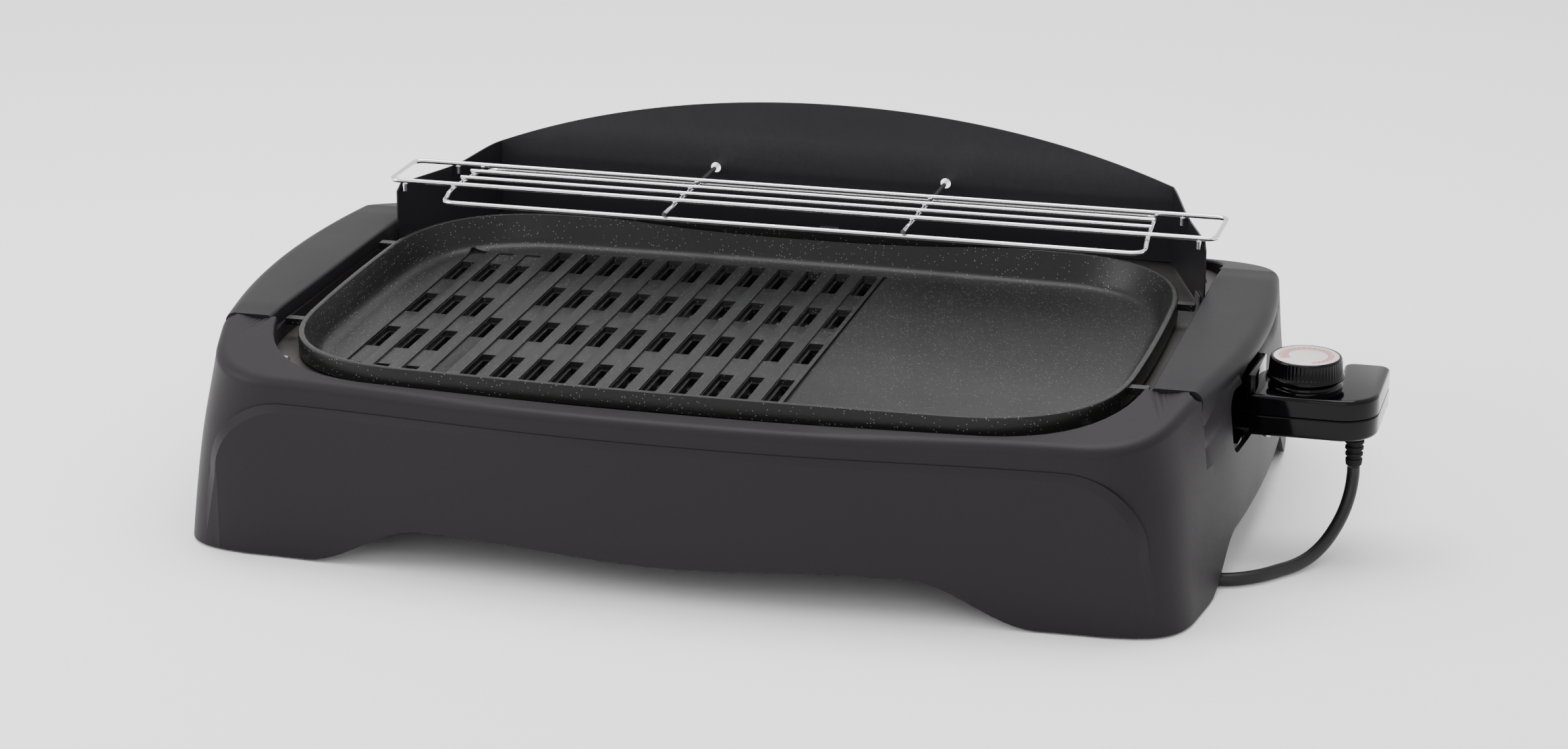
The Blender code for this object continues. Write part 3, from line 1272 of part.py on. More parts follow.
# ---------------------------------------------------------------- knob
def make_knob():
    """A knurled cap with a rolled skirt ring, hollow below."""
    teeth = 26
    base_z = KNOB_BASE_Z
    bm = bmesh.new()
    heights = [(base_z, KNOB_R - 0.0004, 0.0), (base_z + 0.0016, KNOB_R, 0.0),
               (base_z + 0.0026, KNOB_R - 0.0006, 0.0),
               (base_z + 0.0030, KNOB_R - 0.0007, 0.0005), (KNOB_TOP_Z - 0.0016, KNOB_R - 0.0014, 0.0005),
               (KNOB_TOP_Z - 0.0008, KNOB_R - 0.0017, 0.0), (KNOB_TOP_Z, KNOB_R - 0.0026, 0.0)]
    rings = []
    for z, radius, depth in heights:
        ring = []
        for k in range(teeth * 2):
            a = math.pi * k / teeth
            r = radius - depth * (k % 2)
            ring.append((KNOB_X + r * math.cos(a), THERMO_Y + r * math.sin(a), z))
        rings.append(ring)
    bm = loft(rings, caps=True)
    knob = from_bmesh(bm, smooth=True)
    recess = turned([(0.0, KNOB_TOP_Z - 0.0010), (0.0184, KNOB_TOP_Z - 0.0010), (0.0184, KNOB_TOP_Z + 0.001),
                     (0.0, KNOB_TOP_Z + 0.001)], (KNOB_X, THERMO_Y), 40)
    boolean(knob, tool_from(recess, "tool_dial_recess"), "DIFFERENCE")
    hollow = turned([(0.0052, base_z - 0.001), (0.0185, base_z - 0.001), (0.0178, KNOB_TOP_Z - 0.0034),
                     (0.0052, KNOB_TOP_Z - 0.0034)], (KNOB_X, THERMO_Y), 32)
    boolean(knob, tool_from(hollow, "tool_knob_hollow"), "DIFFERENCE")
    bore = bmesh.new()
    add_cylinder(bore, (KNOB_X, THERMO_Y, base_z - 0.001), (KNOB_X, THERMO_Y, SPINDLE_TOP_Z + GAP),
                 SPINDLE_R + GAP, segments=16)
    boolean(knob, tool_from(bore, "tool_knob_bore"), "DIFFERENCE")
    return place(knob, "thermostat_knob", "gloss_plastic", knob_axis)


make_knob()
dial_low, dial_high = KNOB_TOP_Z - 0.0010 + GAP, KNOB_TOP_Z - 0.0001
dial = turned([(0.0, dial_low), (DIAL_R, dial_low), (DIAL_R, dial_high), (0.0, dial_high)], (KNOB_X, THERMO_Y), 40)
place(from_bmesh(dial, True), "dial_disc", "dial_face", knob_axis)
spindle = turned([(0.0, 0.0880), (SPINDLE_R, 0.0880), (SPINDLE_R, SPINDLE_TOP_Z), (0.0, SPINDLE_TOP_Z)],
                 (KNOB_X, THERMO_Y), 16)
place(from_bmesh(spindle, True), "control_spindle", "steel", knob_axis)


# ---------------------------------------------------------------- cord, coil and plug
relief = turned([(0.0, RELIEF_TOP_Z), (0.0058, RELIEF_TOP_Z), (0.0056, RELIEF_TOP_Z - 0.0020),
                 (0.0044, RELIEF_TOP_Z - RELIEF_LENGTH), (0.0, RELIEF_TOP_Z - RELIEF_LENGTH)], CORD_EXIT, 20)
place(from_bmesh(relief, True), "strain_relief", "rubber", thermo_axis)

CORD_START_Z = RELIEF_TOP_Z - RELIEF_LENGTH - 0.0012
CORD_ROUTE = [
    (0.3504, -0.0200, CORD_START_Z), (0.3504, -0.0202, 0.0440), (0.3496, -0.0230, 0.0352),
    (0.3475, -0.0280, 0.0262), (0.3438, -0.0350, 0.0178), (0.3390, -0.0436, 0.0110),
    (0.3330, -0.0530, 0.0062), (0.3262, -0.0632, CORD_REST_Z + 0.0003), (0.3180, -0.0738, CORD_REST_Z),
    (0.3075, -0.0858, CORD_REST_Z), (0.2935, -0.0945, CORD_REST_Z), (0.2760, -0.0962, CORD_REST_Z),
    (0.2560, -0.0900, CORD_REST_Z), (0.2370, -0.0750, CORD_REST_Z), (0.2210, -0.0520, CORD_REST_Z),
    (0.2080, -0.0220, CORD_REST_Z), (0.1960, 0.0120, CORD_REST_Z), (0.1820, 0.0500, CORD_REST_Z),
    (0.1640, 0.0880, CORD_REST_Z), (0.1420, 0.1240, CORD_REST_Z), (0.1210, 0.1580, CORD_REST_Z),
    (0.1060, 0.1900, CORD_REST_Z), (0.0970, 0.2200, CORD_REST_Z), (0.0936, 0.2420, CORD_REST_Z),
    (0.0936, 0.2560, CORD_REST_Z)]
TAIL_ROUTE = [
    (0.0200, 0.3286, 0.0100), (0.0090, 0.3282, 0.0066), (-0.0030, 0.3266, 0.0062),
    (-0.0150, 0.3236, 0.0068), (-0.0260, 0.3204, 0.0078)]
PLUG_AT = Vector((-0.0265, 0.3202))
PLUG_WAY = Vector((-0.96, -0.28)).normalized()


def smooth_points(route, spacing):
    """Points about one spacing apart on a smooth curve through the route."""
    pts = [Vector(p) for p in route]
    pts = [pts[0] * 2 - pts[1]] + pts + [pts[-1] * 2 - pts[-2]]
    fine = []
    for i in range(1, len(pts) - 2):
        a, b, c, d = pts[i - 1], pts[i], pts[i + 1], pts[i + 2]
        for k in range(16):
            t = k / 16
            fine.append(0.5 * ((2 * b) + (c - a) * t + (2 * a - 5 * b + 4 * c - d) * t ** 2
                               + (3 * b - a - 3 * c + d) * t ** 3))
    fine.append(pts[-2])
    out, walked = [fine[0]], 0.0
    for here, there in zip(fine, fine[1:]):
        walked += (there - here).length
        if walked >= spacing:
            out.append(there)
            walked = 0.0
    if (out[-1] - fine[-1]).length < spacing * 0.5:
        out.pop()
    out.append(fine[-1])
    return [tuple(p) for p in out]


place(wire_object(smooth_points(CORD_ROUTE, 2.0 * CORD_D), CORD_D, bevel_resolution=2),
      "power_cord", "cord_rubber", thermo_axis)
place(wire_object(smooth_points(TAIL_ROUTE, 1.4 * CORD_D), CORD_D, bevel_resolution=2),
      "power_cord_tail", "cord_rubber", thermo_axis)

edge = 0.0030
coil_profile = [(COIL_INNER, GAP + edge), (COIL_INNER + edge, GAP),
                (COIL_OUTER - edge, GAP), (COIL_OUTER, GAP + edge),
                (COIL_OUTER, COIL_HEIGHT - edge), (COIL_OUTER - edge, COIL_HEIGHT),
                (COIL_INNER + edge, COIL_HEIGHT), (COIL_INNER, COIL_HEIGHT - edge)]
place(from_bmesh(turned(coil_profile, COIL_CENTRE, 32), True), "cord_coil", "cord_rubber", thermo_axis)


def plug_point(along, across, z):
    side = Vector((-PLUG_WAY.y, PLUG_WAY.x))
    p = PLUG_AT + PLUG_WAY * along + side * across
    return (p.x, p.y, z)


def make_plug():
    """Moulded two-pin plug: a ribbed neck that swells into a flat oval head."""
    centre_z = 0.0083
    stations = [(GAP, 0.0048, 0.0048), (0.0110, 0.0054, 0.0054),
                (0.0160, 0.0075, 0.0066), (0.0220, 0.0140, 0.0076),
                (0.0280, 0.0165, 0.0079), (0.0430, 0.0172, 0.0080), (0.0450, 0.0160, 0.0070)]
    rings = []
    for along, half_w, half_h in stations:
        ring = []
        for k in range(16):
            a = 2 * math.pi * k / 16
            c, s = math.cos(a), math.sin(a)
            across = half_w * math.copysign(abs(c) ** 0.75, c)
            up = half_h * math.copysign(abs(s) ** 0.75, s)
            ring.append(plug_point(along, across, centre_z + up))
        rings.append(ring)
    place(from_bmesh(loft(rings, caps=True), smooth=True), "plug_body", "cord_rubber", thermo_axis)
    for sign, which in ((-1, "left"), (1, "right")):
        bm = bmesh.new()
        add_cylinder(bm, plug_point(0.0450 + GAP, sign * 0.0095, centre_z),
                     plug_point(0.0640, sign * 0.0095, centre_z), 0.0024, 0.0020, segments=14)
        place(from_bmesh(bm, True), "plug_pin_" + which, "brass", thermo_axis)


make_plug()
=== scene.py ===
# %% [markdown]
# # An electric griddle, one piece at a time
# The solids of the griddle come in as a fixed frame: every node already stands where it belongs. This
# lesson gives each of them a finish, and rebuilds the ones whose shape deserves a finer surface.

# %% Load the frame
import json
import math

import bmesh
import bpy
from mathutils import Matrix, Vector


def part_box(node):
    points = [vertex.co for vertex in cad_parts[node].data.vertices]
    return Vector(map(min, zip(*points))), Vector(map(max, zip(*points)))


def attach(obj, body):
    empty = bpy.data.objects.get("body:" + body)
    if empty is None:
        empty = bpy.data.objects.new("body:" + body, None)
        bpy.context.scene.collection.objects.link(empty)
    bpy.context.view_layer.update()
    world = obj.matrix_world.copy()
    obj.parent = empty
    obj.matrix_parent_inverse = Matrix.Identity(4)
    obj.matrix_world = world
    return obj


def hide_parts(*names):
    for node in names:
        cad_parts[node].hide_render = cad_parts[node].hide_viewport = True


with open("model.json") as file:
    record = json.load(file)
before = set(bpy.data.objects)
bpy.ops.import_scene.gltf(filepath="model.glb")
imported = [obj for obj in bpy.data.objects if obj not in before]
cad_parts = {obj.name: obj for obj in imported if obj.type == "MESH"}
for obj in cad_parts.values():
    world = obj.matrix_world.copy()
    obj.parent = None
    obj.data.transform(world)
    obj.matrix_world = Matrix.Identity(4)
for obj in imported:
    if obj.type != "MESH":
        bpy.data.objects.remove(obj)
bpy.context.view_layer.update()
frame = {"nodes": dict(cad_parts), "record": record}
nodes = frame["nodes"]

# %% [markdown]
# ## The camera and the light
# The griddle is seen from its right front, about eighteen degrees above the table, through a long lens.
# Dark plastic shows itself by its edges, so the light is soft and wide: one large panel above and behind,
# a weaker one at each side, and a pale world that fills what the panels leave.

# %% Camera
eye = Vector((0.574, -2.067, 0.768))
look = Vector((-0.2470, 0.9178, -0.3108))
camera_data = bpy.data.cameras.new("camera")
camera_data.sensor_width = 36.0
camera_data.lens = 89.26
camera = bpy.data.objects.new("camera", camera_data)
camera.location = eye
camera.rotation_euler = look.to_track_quat("-Z", "Y").to_euler()
bpy.context.scene.collection.objects.link(camera)
bpy.context.scene.camera = camera
print("lens:", camera_data.lens, "mm")

# %% World and lamps
world = bpy.data.worlds.new("studio")
world.use_nodes = True
world.node_tree.nodes["Background"].inputs["Color"].default_value = (1.0, 1.0, 1.0, 1.0)
world.node_tree.nodes["Background"].inputs["Strength"].default_value = 1.20
bpy.context.scene.world = world


def panel(name, place, aim, size, power):
    """A soft square lamp that faces a point."""
    data = bpy.data.lights.new(name, "AREA")
    data.shape = "RECTANGLE"
    data.size, data.size_y = size
    data.energy = power
    lamp = bpy.data.objects.new(name, data)
    lamp.location = place
    lamp.rotation_euler = (Vector(aim) - Vector(place)).to_track_quat("-Z", "Y").to_euler()
    bpy.context.scene.collection.objects.link(lamp)
    return lamp


panel("top_panel", (-0.1, 0.35, 1.9), (0.0, 0.0, 0.05), (1.8, 1.2), 44.0)
panel("left_panel", (-1.9, -0.9, 1.2), (0.0, 0.0, 0.05), (1.2, 1.0), 26.0)
panel("front_panel", (0.5, -2.4, 1.3), (0.0, 0.0, 0.05), (1.6, 0.9), 10.0)

# %% [markdown]
# ## Finishes
# Every finish starts from one Principled shader. Two things make moulded plastic look moulded: a fine
# grain in its normal, and a slight unevenness in its roughness. Both come from noise in object space,
# so they keep their size on the real object and need no unwrapping.

# %% Node helpers
def add_node(tree, kind, **values):
    """A shader node, with values for its input sockets."""
    node = tree.nodes.new("ShaderNode" + kind)
    for socket, value in values.items():
        node.inputs[socket.replace("_", " ")].default_value = value
    return node


def calc(tree, operation, first, second=None):
    """One Math node; each input is a number or a socket."""
    step = tree.nodes.new("ShaderNodeMath")
    step.operation = operation
    for slot_at, value in zip(step.inputs, (first, second)):
        if isinstance(value, (int, float)):
            slot_at.default_value = value
        elif value is not None:
            tree.links.new(value, slot_at)
    return step.outputs["Value"]


def blend(tree, mask, first, second):
    """Two colours mixed by a mask; the first is a colour or a socket."""
    mix = tree.nodes.new("ShaderNodeMix")
    mix.data_type = "RGBA"
    tree.links.new(mask, mix.inputs["Factor"])
    if isinstance(first, tuple):
        mix.inputs["A"].default_value = (*first, 1.0)
    else:
        tree.links.new(first, mix.inputs["A"])
    mix.inputs["B"].default_value = (*second, 1.0)
    return mix.outputs["Result"]


print("node helpers ready")

# %% A helper for grained finishes
def grained(name, colour, roughness, metallic=0.0, grain=900.0, depth=0.05, uneven=0.08,
            tint=0.0, gloss=0.5):
    """A Principled finish with noise grain, in object space."""
    material = bpy.data.materials.new(name)
    material.use_nodes = True
    tree = material.node_tree
    shader = tree.nodes["Principled BSDF"]
    shader.inputs["Base Color"].default_value = (*colour, 1.0)
    shader.inputs["Metallic"].default_value = metallic
    shader.inputs["Roughness"].default_value = roughness
    shader.inputs["Specular IOR Level"].default_value = gloss
    place = add_node(tree, "TexCoord")
    fine = add_node(tree, "TexNoise", Scale=grain, Detail=3.0)
    tree.links.new(place.outputs["Object"], fine.inputs["Vector"])
    bump = add_node(tree, "Bump", Strength=depth, Distance=0.001)
    tree.links.new(fine.outputs["Fac"], bump.inputs["Height"])
    tree.links.new(bump.outputs["Normal"], shader.inputs["Normal"])
    broad = add_node(tree, "TexNoise", Scale=14.0, Detail=4.0)
    tree.links.new(place.outputs["Object"], broad.inputs["Vector"])
    spread = add_node(tree, "MapRange", To_Min=roughness - uneven, To_Max=roughness + uneven)
    tree.links.new(broad.outputs["Fac"], spread.inputs["Value"])
    tree.links.new(spread.outputs["Result"], shader.inputs["Roughness"])
    if tint > 0.0:
        lighter = tuple(c * (1.0 + tint) for c in colour)
        tree.links.new(blend(tree, broad.outputs["Fac"], colour, lighter), shader.inputs["Base Color"])
    return material


print("one helper makes every finish")

# %% The plastics, metals and rubbers
housing_plastic = grained("housing_plastic", (0.0100, 0.0082, 0.0098), 0.50,
                          grain=1500, depth=0.14, tint=0.35, gloss=0.17)
handle_plastic = grained("handle_plastic", (0.0078, 0.0070, 0.0082), 0.48,
                         grain=1500, depth=0.14, tint=0.3, gloss=0.17)
gloss_black = grained("gloss_black", (0.0018, 0.0018, 0.0024), 0.08,
                      grain=300, depth=0.01, uneven=0.03, gloss=0.16)
guard_paint = grained("guard_paint", (0.0110, 0.0100, 0.0125), 0.34,
                      grain=1100, depth=0.05, uneven=0.05, tint=0.2, gloss=0.45)
chrome = grained("chrome", (0.88, 0.88, 0.90), 0.08, 1.0, grain=500, depth=0.02, uneven=0.04)
bright_steel = grained("bright_steel", (0.55, 0.55, 0.57), 0.30, 1.0, grain=700, depth=0.06, uneven=0.08)
# Painted shade: the aluminised steel is coloured nearly black, so the frame seen in the gap between the plate
# and the housing looks shaded.
steel_painted_shade = grained("steel_painted_shade", (0.075, 0.070, 0.068), 0.50, 1.0,
                     grain=350, depth=0.10, uneven=0.12, tint=0.3)
brass = grained("brass", (0.62, 0.47, 0.22), 0.28, 1.0, grain=600, depth=0.04)
ceramic = grained("ceramic", (0.70, 0.67, 0.60), 0.68, grain=900, depth=0.15, tint=0.08)
soft_rubber = grained("soft_rubber", (0.0060, 0.0060, 0.0066), 0.70,
                      grain=1800, depth=0.12, tint=0.2, gloss=0.2)
cord_rubber = grained("cord_rubber", (0.0090, 0.0090, 0.0098), 0.42,
                      grain=1200, depth=0.08, tint=0.15, gloss=0.3)
print("finishes:", len(bpy.data.materials))

# %% [markdown]
# The plate's coating is a dark enamel-like film with fine pale flecks. A Voronoi pattern gives flecks of
# one size: only the cells' centres are kept, and only some of the cells, so the flecks scatter.

# %% Non-stick coating
FILM_COLOUR, FLECK_COLOUR = (0.0070, 0.0072, 0.0068), (0.1200, 0.1200, 0.1250)
FLECK_CELLS, FLECK_REACH, FLECK_RARITY = 620.0, 0.20, 0.62


def make_coating():
    """Dark coating with scattered pale flecks."""
    material = grained("nonstick_coating", FILM_COLOUR, 0.34, grain=1300, depth=0.14, uneven=0.06, gloss=0.24)
    tree = material.node_tree
    shader = tree.nodes["Principled BSDF"]
    place = add_node(tree, "TexCoord")
    cells = add_node(tree, "TexVoronoi", Scale=FLECK_CELLS)
    tree.links.new(place.outputs["Object"], cells.inputs["Vector"])
    split = add_node(tree, "SeparateColor")
    tree.links.new(cells.outputs["Color"], split.inputs["Color"])
    near = calc(tree, "LESS_THAN", cells.outputs["Distance"], FLECK_REACH)
    some = calc(tree, "GREATER_THAN", split.outputs["Red"], FLECK_RARITY)
    fleck = calc(tree, "MULTIPLY", near, some)
    tree.links.new(blend(tree, fleck, FILM_COLOUR, FLECK_COLOUR), shader.inputs["Base Color"])
    return material


coating = make_coating()
print("coating:", coating.name)

# %% [markdown]
# ## Small tools
# Most skins here are lofts: a stack of closed rings with the same number of points, joined ring to ring.
# Openings are cut with exact Booleans, and only where an edge should catch light is it bevelled after.

# %% Mesh helpers
def finish_mesh(bm, name, smooth_angle=35):
    """Turn a bmesh into an object with outward faces, smooth but for its sharp edges."""
    bmesh.ops.recalc_face_normals(bm, faces=bm.faces)
    mesh = bpy.data.meshes.new(name)
    bm.to_mesh(mesh)
    bm.free()
    mesh.shade_smooth()
    mesh.set_sharp_from_angle(angle=math.radians(smooth_angle))
    piece = bpy.data.objects.new(name, mesh)
    bpy.context.scene.collection.objects.link(piece)
    return piece


def skin(bm, rings, capped=True):
    """Join a stack of rings inside a mesh; a stack without caps closes on itself."""
    rows = [[bm.verts.new(point) for point in ring] for ring in rings]
    count = len(rows[0])
    for r in range(len(rows) - 1 if capped else len(rows)):
        here, there = rows[r], rows[(r + 1) % len(rows)]
        for i in range(count):
            j = (i + 1) % count
            bm.faces.new((here[i], here[j], there[j], there[i]))
    if capped:
        bm.faces.new(rows[0])
        bm.faces.new(rows[-1])


def loft(rings, capped=True):
    """A new mesh from one stack of rings."""
    bm = bmesh.new()
    skin(bm, rings, capped)
    return bm


def block(bm, low, high):
    """A box between two corners, whichever way round they come."""
    made = bmesh.ops.create_cube(bm, size=1.0)["verts"]
    for vert in made:
        vert.co = Vector([low[i] + (vert.co[i] + 0.5) * (high[i] - low[i]) for i in range(3)])


def rod(bm, start, end, radius, segments):
    """A round bar between two points."""
    start, end = Vector(start), Vector(end)
    turn = (end - start).to_track_quat("Z", "Y").to_matrix().to_4x4()
    bmesh.ops.create_cone(bm, cap_ends=True, segments=segments, radius1=radius, radius2=radius,
                          depth=(end - start).length, matrix=Matrix.Translation((start + end) / 2) @ turn)


def turned(profile, centre, segments=64):
    """Spin a closed (radius, z) outline about a vertical axis."""
    bm = bmesh.new()
    rows = []
    for k in range(segments):
        a = 2 * math.pi * k / segments
        row = [(centre[0] + r * math.cos(a), centre[1] + r * math.sin(a), z) for r, z in profile]
        rows.append([bm.verts.new(point) for point in row])
    for k in range(segments):
        here, there = rows[k], rows[(k + 1) % segments]
        for i in range(len(profile)):
            j = (i + 1) % len(profile)
            if profile[i][0] > 1e-6 or profile[j][0] > 1e-6:
                bm.faces.new((here[i], here[j], there[j], there[i]))
    bmesh.ops.remove_doubles(bm, verts=bm.verts, dist=1e-6)
    return bm


def cut(piece, tool_mesh, operation="DIFFERENCE"):
    """Apply one Boolean and throw its tool away."""
    tool = finish_mesh(tool_mesh, "tool")
    mod = piece.modifiers.new("cut", "BOOLEAN")
    mod.operation = operation
    mod.solver = "EXACT"
    mod.object = tool
    apply_all(piece)
    bpy.data.objects.remove(tool, do_unlink=True)


def apply_all(piece):
    """Bake a piece's modifiers into its mesh."""
    shape = bpy.data.meshes.new_from_object(piece.evaluated_get(bpy.context.evaluated_depsgraph_get()))
    piece.modifiers.clear()
    piece.data = shape


def soften(piece, width, segments=2, angle=38):
    """Round the edges that are still sharp."""
    mod = piece.modifiers.new("edge", "BEVEL")
    mod.width = width
    mod.segments = segments
    mod.limit_method = "ANGLE"
    mod.angle_limit = math.radians(angle)
    apply_all(piece)
    piece.data.shade_smooth()
    piece.data.set_sharp_from_angle(angle=math.radians(32))


def dress(piece, material, slot, body, *stands_for):
    """Give a piece its finish, its body, and the nodes it stands for."""
    piece.data.materials.clear()
    piece.data.materials.append(material)
    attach(piece, body)
    if stands_for:
        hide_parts(*stands_for)
    return piece


def ease(t):
    """A smooth step from 0 to 1."""
    t = min(max(t, 0.0), 1.0)
    return t * t * (3 - 2 * t)


print("tools ready")

# %% [markdown]
# ## The housing
# The housing is one moulding. In plan its front and rear are bowed and its ends bulge; going up, the ends
# flare out from the feet to the handles. It is lofted from plan outlines: up the outer wall, over the
# rolled edge, across the deck, down into the well, and back along the inside.

# %% Plan outlines
BOW_REACH = 0.270
HOUSING_BOW = 0.0140


def bow(x, depth):
    """How far a bowed edge has fallen back at x."""
    t = min(abs(x) / BOW_REACH, 1.0)
    return depth * t * t * t * (10 - 15 * t + 6 * t * t)


def plan_outline(half_x, side_radius, front_y, rear_y, depth, corner, side_centre=0.020,
                 across=36, along=44, turn=14):
    """A closed plan: bowed front and rear, bulging ends, round corners."""
    front_size, rear_size = corner if isinstance(corner, tuple) else (corner, corner)

    def side_x(y):
        return half_x - (y - side_centre) ** 2 / (2 * side_radius)

    def corner_point(edge_y, sign):
        x = half_x
        for _ in range(20):
            y = edge_y + sign * bow(x, depth)
            x = side_x(y)
        return x, y

    def quarter(x, y, edge_y, sign, size):
        start = Vector((x - size, edge_y + sign * bow(x - size, depth)))
        end = Vector((side_x(y + sign * size), y + sign * size))
        corner_at = Vector((x, y))
        steps = [k / turn for k in range(turn + 1)]
        return [tuple(start * (1 - t) ** 2 + corner_at * 2 * t * (1 - t) + end * t * t) for t in steps]

    fx, fy = corner_point(front_y, 1)
    rx, ry = corner_point(rear_y, -1)
    right = []
    for k in range(1, along):
        y = fy + front_size + (ry - fy - front_size - rear_size) * k / along
        right.append((side_x(y), y))
    half = quarter(fx, fy, front_y, 1, front_size) + right + quarter(rx, ry, rear_y, -1, rear_size)[::-1]
    front = [(-(fx - front_size) + 2 * (fx - front_size) * k / across) for k in range(1, across)]
    rear = [(rx - rear_size) - 2 * (rx - rear_size) * k / across for k in range(1, across)]
    return ([(x, front_y + bow(x, depth)) for x in front] + half
            + [(x, rear_y - bow(x, depth)) for x in rear] + [(-x, y) for x, y in half[::-1]])


print("bow at its reach:", bow(BOW_REACH, HOUSING_BOW))

# %% Heights of the deck and its shoulders
DECK_FRONT_Z = 0.1020
DECK_SIDE_Z = 0.1165
FRONT_Y, REAR_Y = -0.1990, 0.1970
HANDLE_FRONT_Y, HANDLE_REAR_Y = -0.1150, 0.1180
SEAT_Z = 0.1085
WALL, ROLL = 0.0030, 0.0058
BASE_BOTTOM = 0.0012
SHOULDER_Z = 0.100
SIDE_CENTRE_Y = 0.020
LOW_HALF_X, LOW_BULGE_RADIUS = 0.2970, 1.30
WELL_X, WELL_FRONT_Y, WELL_REAR_Y, WELL_FLOOR_Z = 0.2515, -0.1840, 0.1830, 0.1002


def deck_height(y):
    """High beside the handles, lower along the front and the rear."""
    edge, start = (FRONT_Y, HANDLE_FRONT_Y) if y < 0 else (REAR_Y, HANDLE_REAR_Y)
    t = (abs(y) - abs(start)) / (abs(edge) - 0.008 - abs(start))
    return DECK_SIDE_Z - (DECK_SIDE_Z - DECK_FRONT_Z) * min(max(t, 0.0), 1.0)


def shoulder_drop(y, share):
    """The shoulder under each handle is lower than the deck, with a finger scoop at its front."""
    along = ease((y + 0.1175) / 0.007) * ease((0.1195 - y) / 0.012)
    scoop = 0.0185 * (1 - ease((y + 0.108) / 0.060))
    pocket = 0.0060 * ease((y - 0.005) / 0.050)
    return along * (0.0090 + share * scoop + pocket)


def side_shape(height):
    """Half length and bulge radius of the outer wall at a height."""
    rise = min(height / SHOULDER_Z, 1.0)
    return LOW_HALF_X - 0.0020 * rise, LOW_BULGE_RADIUS - 0.70 * rise


def side_reach(y, height):
    """Half length of the outer wall at a station and a height."""
    half, radius = side_shape(height)
    return half - (y - SIDE_CENTRE_Y) ** 2 / (2 * radius)


def wall_outline(height, inset=0.0):
    """Plan of the outer wall: its corners spread towards the table."""
    rise = min(height / SHOULDER_Z, 1.0)
    half, radius = side_shape(height)
    lean = 0.0010 * (1 - rise)
    corner = (0.030 + 0.006 * rise, 0.030 + 0.020 * rise)
    return plan_outline(half - inset, radius, FRONT_Y - lean + inset, REAR_Y + lean - inset,
                        HOUSING_BOW, corner)


def well_outline(outset):
    """Plan of the well that the plate stands in."""
    return plan_outline(WELL_X + outset, 6.0, WELL_FRONT_Y - outset, WELL_REAR_Y + outset,
                        0.0070, (0.085, 0.040))


print("deck at front and side:", deck_height(FRONT_Y), deck_height(0.0))

# %% Loft the shell
LOWER_SHARE, UPPER_SHARE = 1.0, 0.2
WALL_STEP = 0.0104


def level(outline, z):
    return [(x, y, z) for x, y in outline]


def under_deck(outline, drop, share=None):
    """An outline laid a little below the deck, or below its shoulder where a share is given."""
    return [(x, y, deck_height(y) - drop - (0.0 if share is None else shoulder_drop(y, share)))
            for x, y in outline]


def pulled_in(outline, distance):
    """The same outline with its two ends drawn towards the middle."""
    return [(x - math.copysign(distance if abs(x) > 0.2 else 0.0, x), y) for x, y in outline]


def loft_housing():
    """Outer wall, rolled edge, deck, well, and back along the inside."""
    top = wall_outline(SHOULDER_Z, ROLL)
    inside = wall_outline(SHOULDER_Z, ROLL + 0.0002)
    heights = [WALL_STEP * k + BASE_BOTTOM for k in range(8)]
    rings = [level(wall_outline(z), z) for z in heights]
    for k in range(9):
        a = math.radians(90 * k / 8)
        share = LOWER_SHARE - 0.8 * k / 8
        outline = wall_outline(SHOULDER_Z, ROLL * (1 - math.cos(a)))
        rings.append(under_deck(outline, ROLL * (1 - math.sin(a)), share))
    rings += [under_deck(pulled_in(top, 0.0004), 0.0, UPPER_SHARE), under_deck(pulled_in(top, 0.0032), 0.0)]
    for outset, drop in ((0.0014, 0.0), (0.0004, 0.0004), (0.0, 0.0014)):
        rings.append(under_deck(well_outline(outset), drop))
    rings += [level(well_outline(0.0), WELL_FLOOR_Z), level(well_outline(0.0020), WELL_FLOOR_Z)]
    rings.append([(x, y, max(deck_height(y) - WALL, 0.1008)) for x, y in well_outline(0.0020)])
    rings.append([(x, y, max(deck_height(y) - WALL, 0.1004)) for x, y in pulled_in(inside, 0.0055)])
    rings.append(under_deck(pulled_in(inside, 0.0045), WALL + 0.0008, UPPER_SHARE))
    rings.append(under_deck(inside, WALL + 0.0010, UPPER_SHARE))
    rings.append(under_deck(wall_outline(SHOULDER_Z, WALL), WALL + ROLL * 0.8, LOWER_SHARE))
    rings += [level(wall_outline(z, WALL), z) for z in (0.074, 0.060, 0.040, 0.020, BASE_BOTTOM)]
    bm = loft(rings, capped=False)
    bmesh.ops.triangulate(bm, faces=bm.faces)
    return finish_mesh(bm, "housing_skin")


housing = loft_housing()
print("housing faces:", len(housing.data.polygons))

# %% [markdown]
# The front carries a raised apron with a bevelled border and round shoulders. It is a slab whose outer
# face is a smaller copy of its border, sliced upright many times so that it can follow the bow.

# %% Apron
APRON_TOP_Z, APRON_SHOULDER = 0.0895, 0.044
APRON_LOW_HALF, APRON_HIGH_HALF = 0.2735, 0.2640
APRON_BEVEL = 0.0042
APRON_BACK, APRON_BORDER, APRON_FACE = 0.0016, -0.0006, -0.0030


def apron_outline(inset):
    """Front view of the apron."""
    top = APRON_TOP_Z - inset
    shoulder = APRON_SHOULDER - inset * 0.5
    low_half, high_half = APRON_LOW_HALF - inset, APRON_HIGH_HALF - inset
    right = []
    for k in range(17):
        a = math.radians(90 * k / 16)
        right.append((high_half - shoulder * 1.05 * (1 - math.cos(a)), top - shoulder * (1 - math.sin(a))))
    return [(-low_half, BASE_BOTTOM), (low_half, BASE_BOTTOM)] + right + [(-x, z) for x, z in right[::-1]]


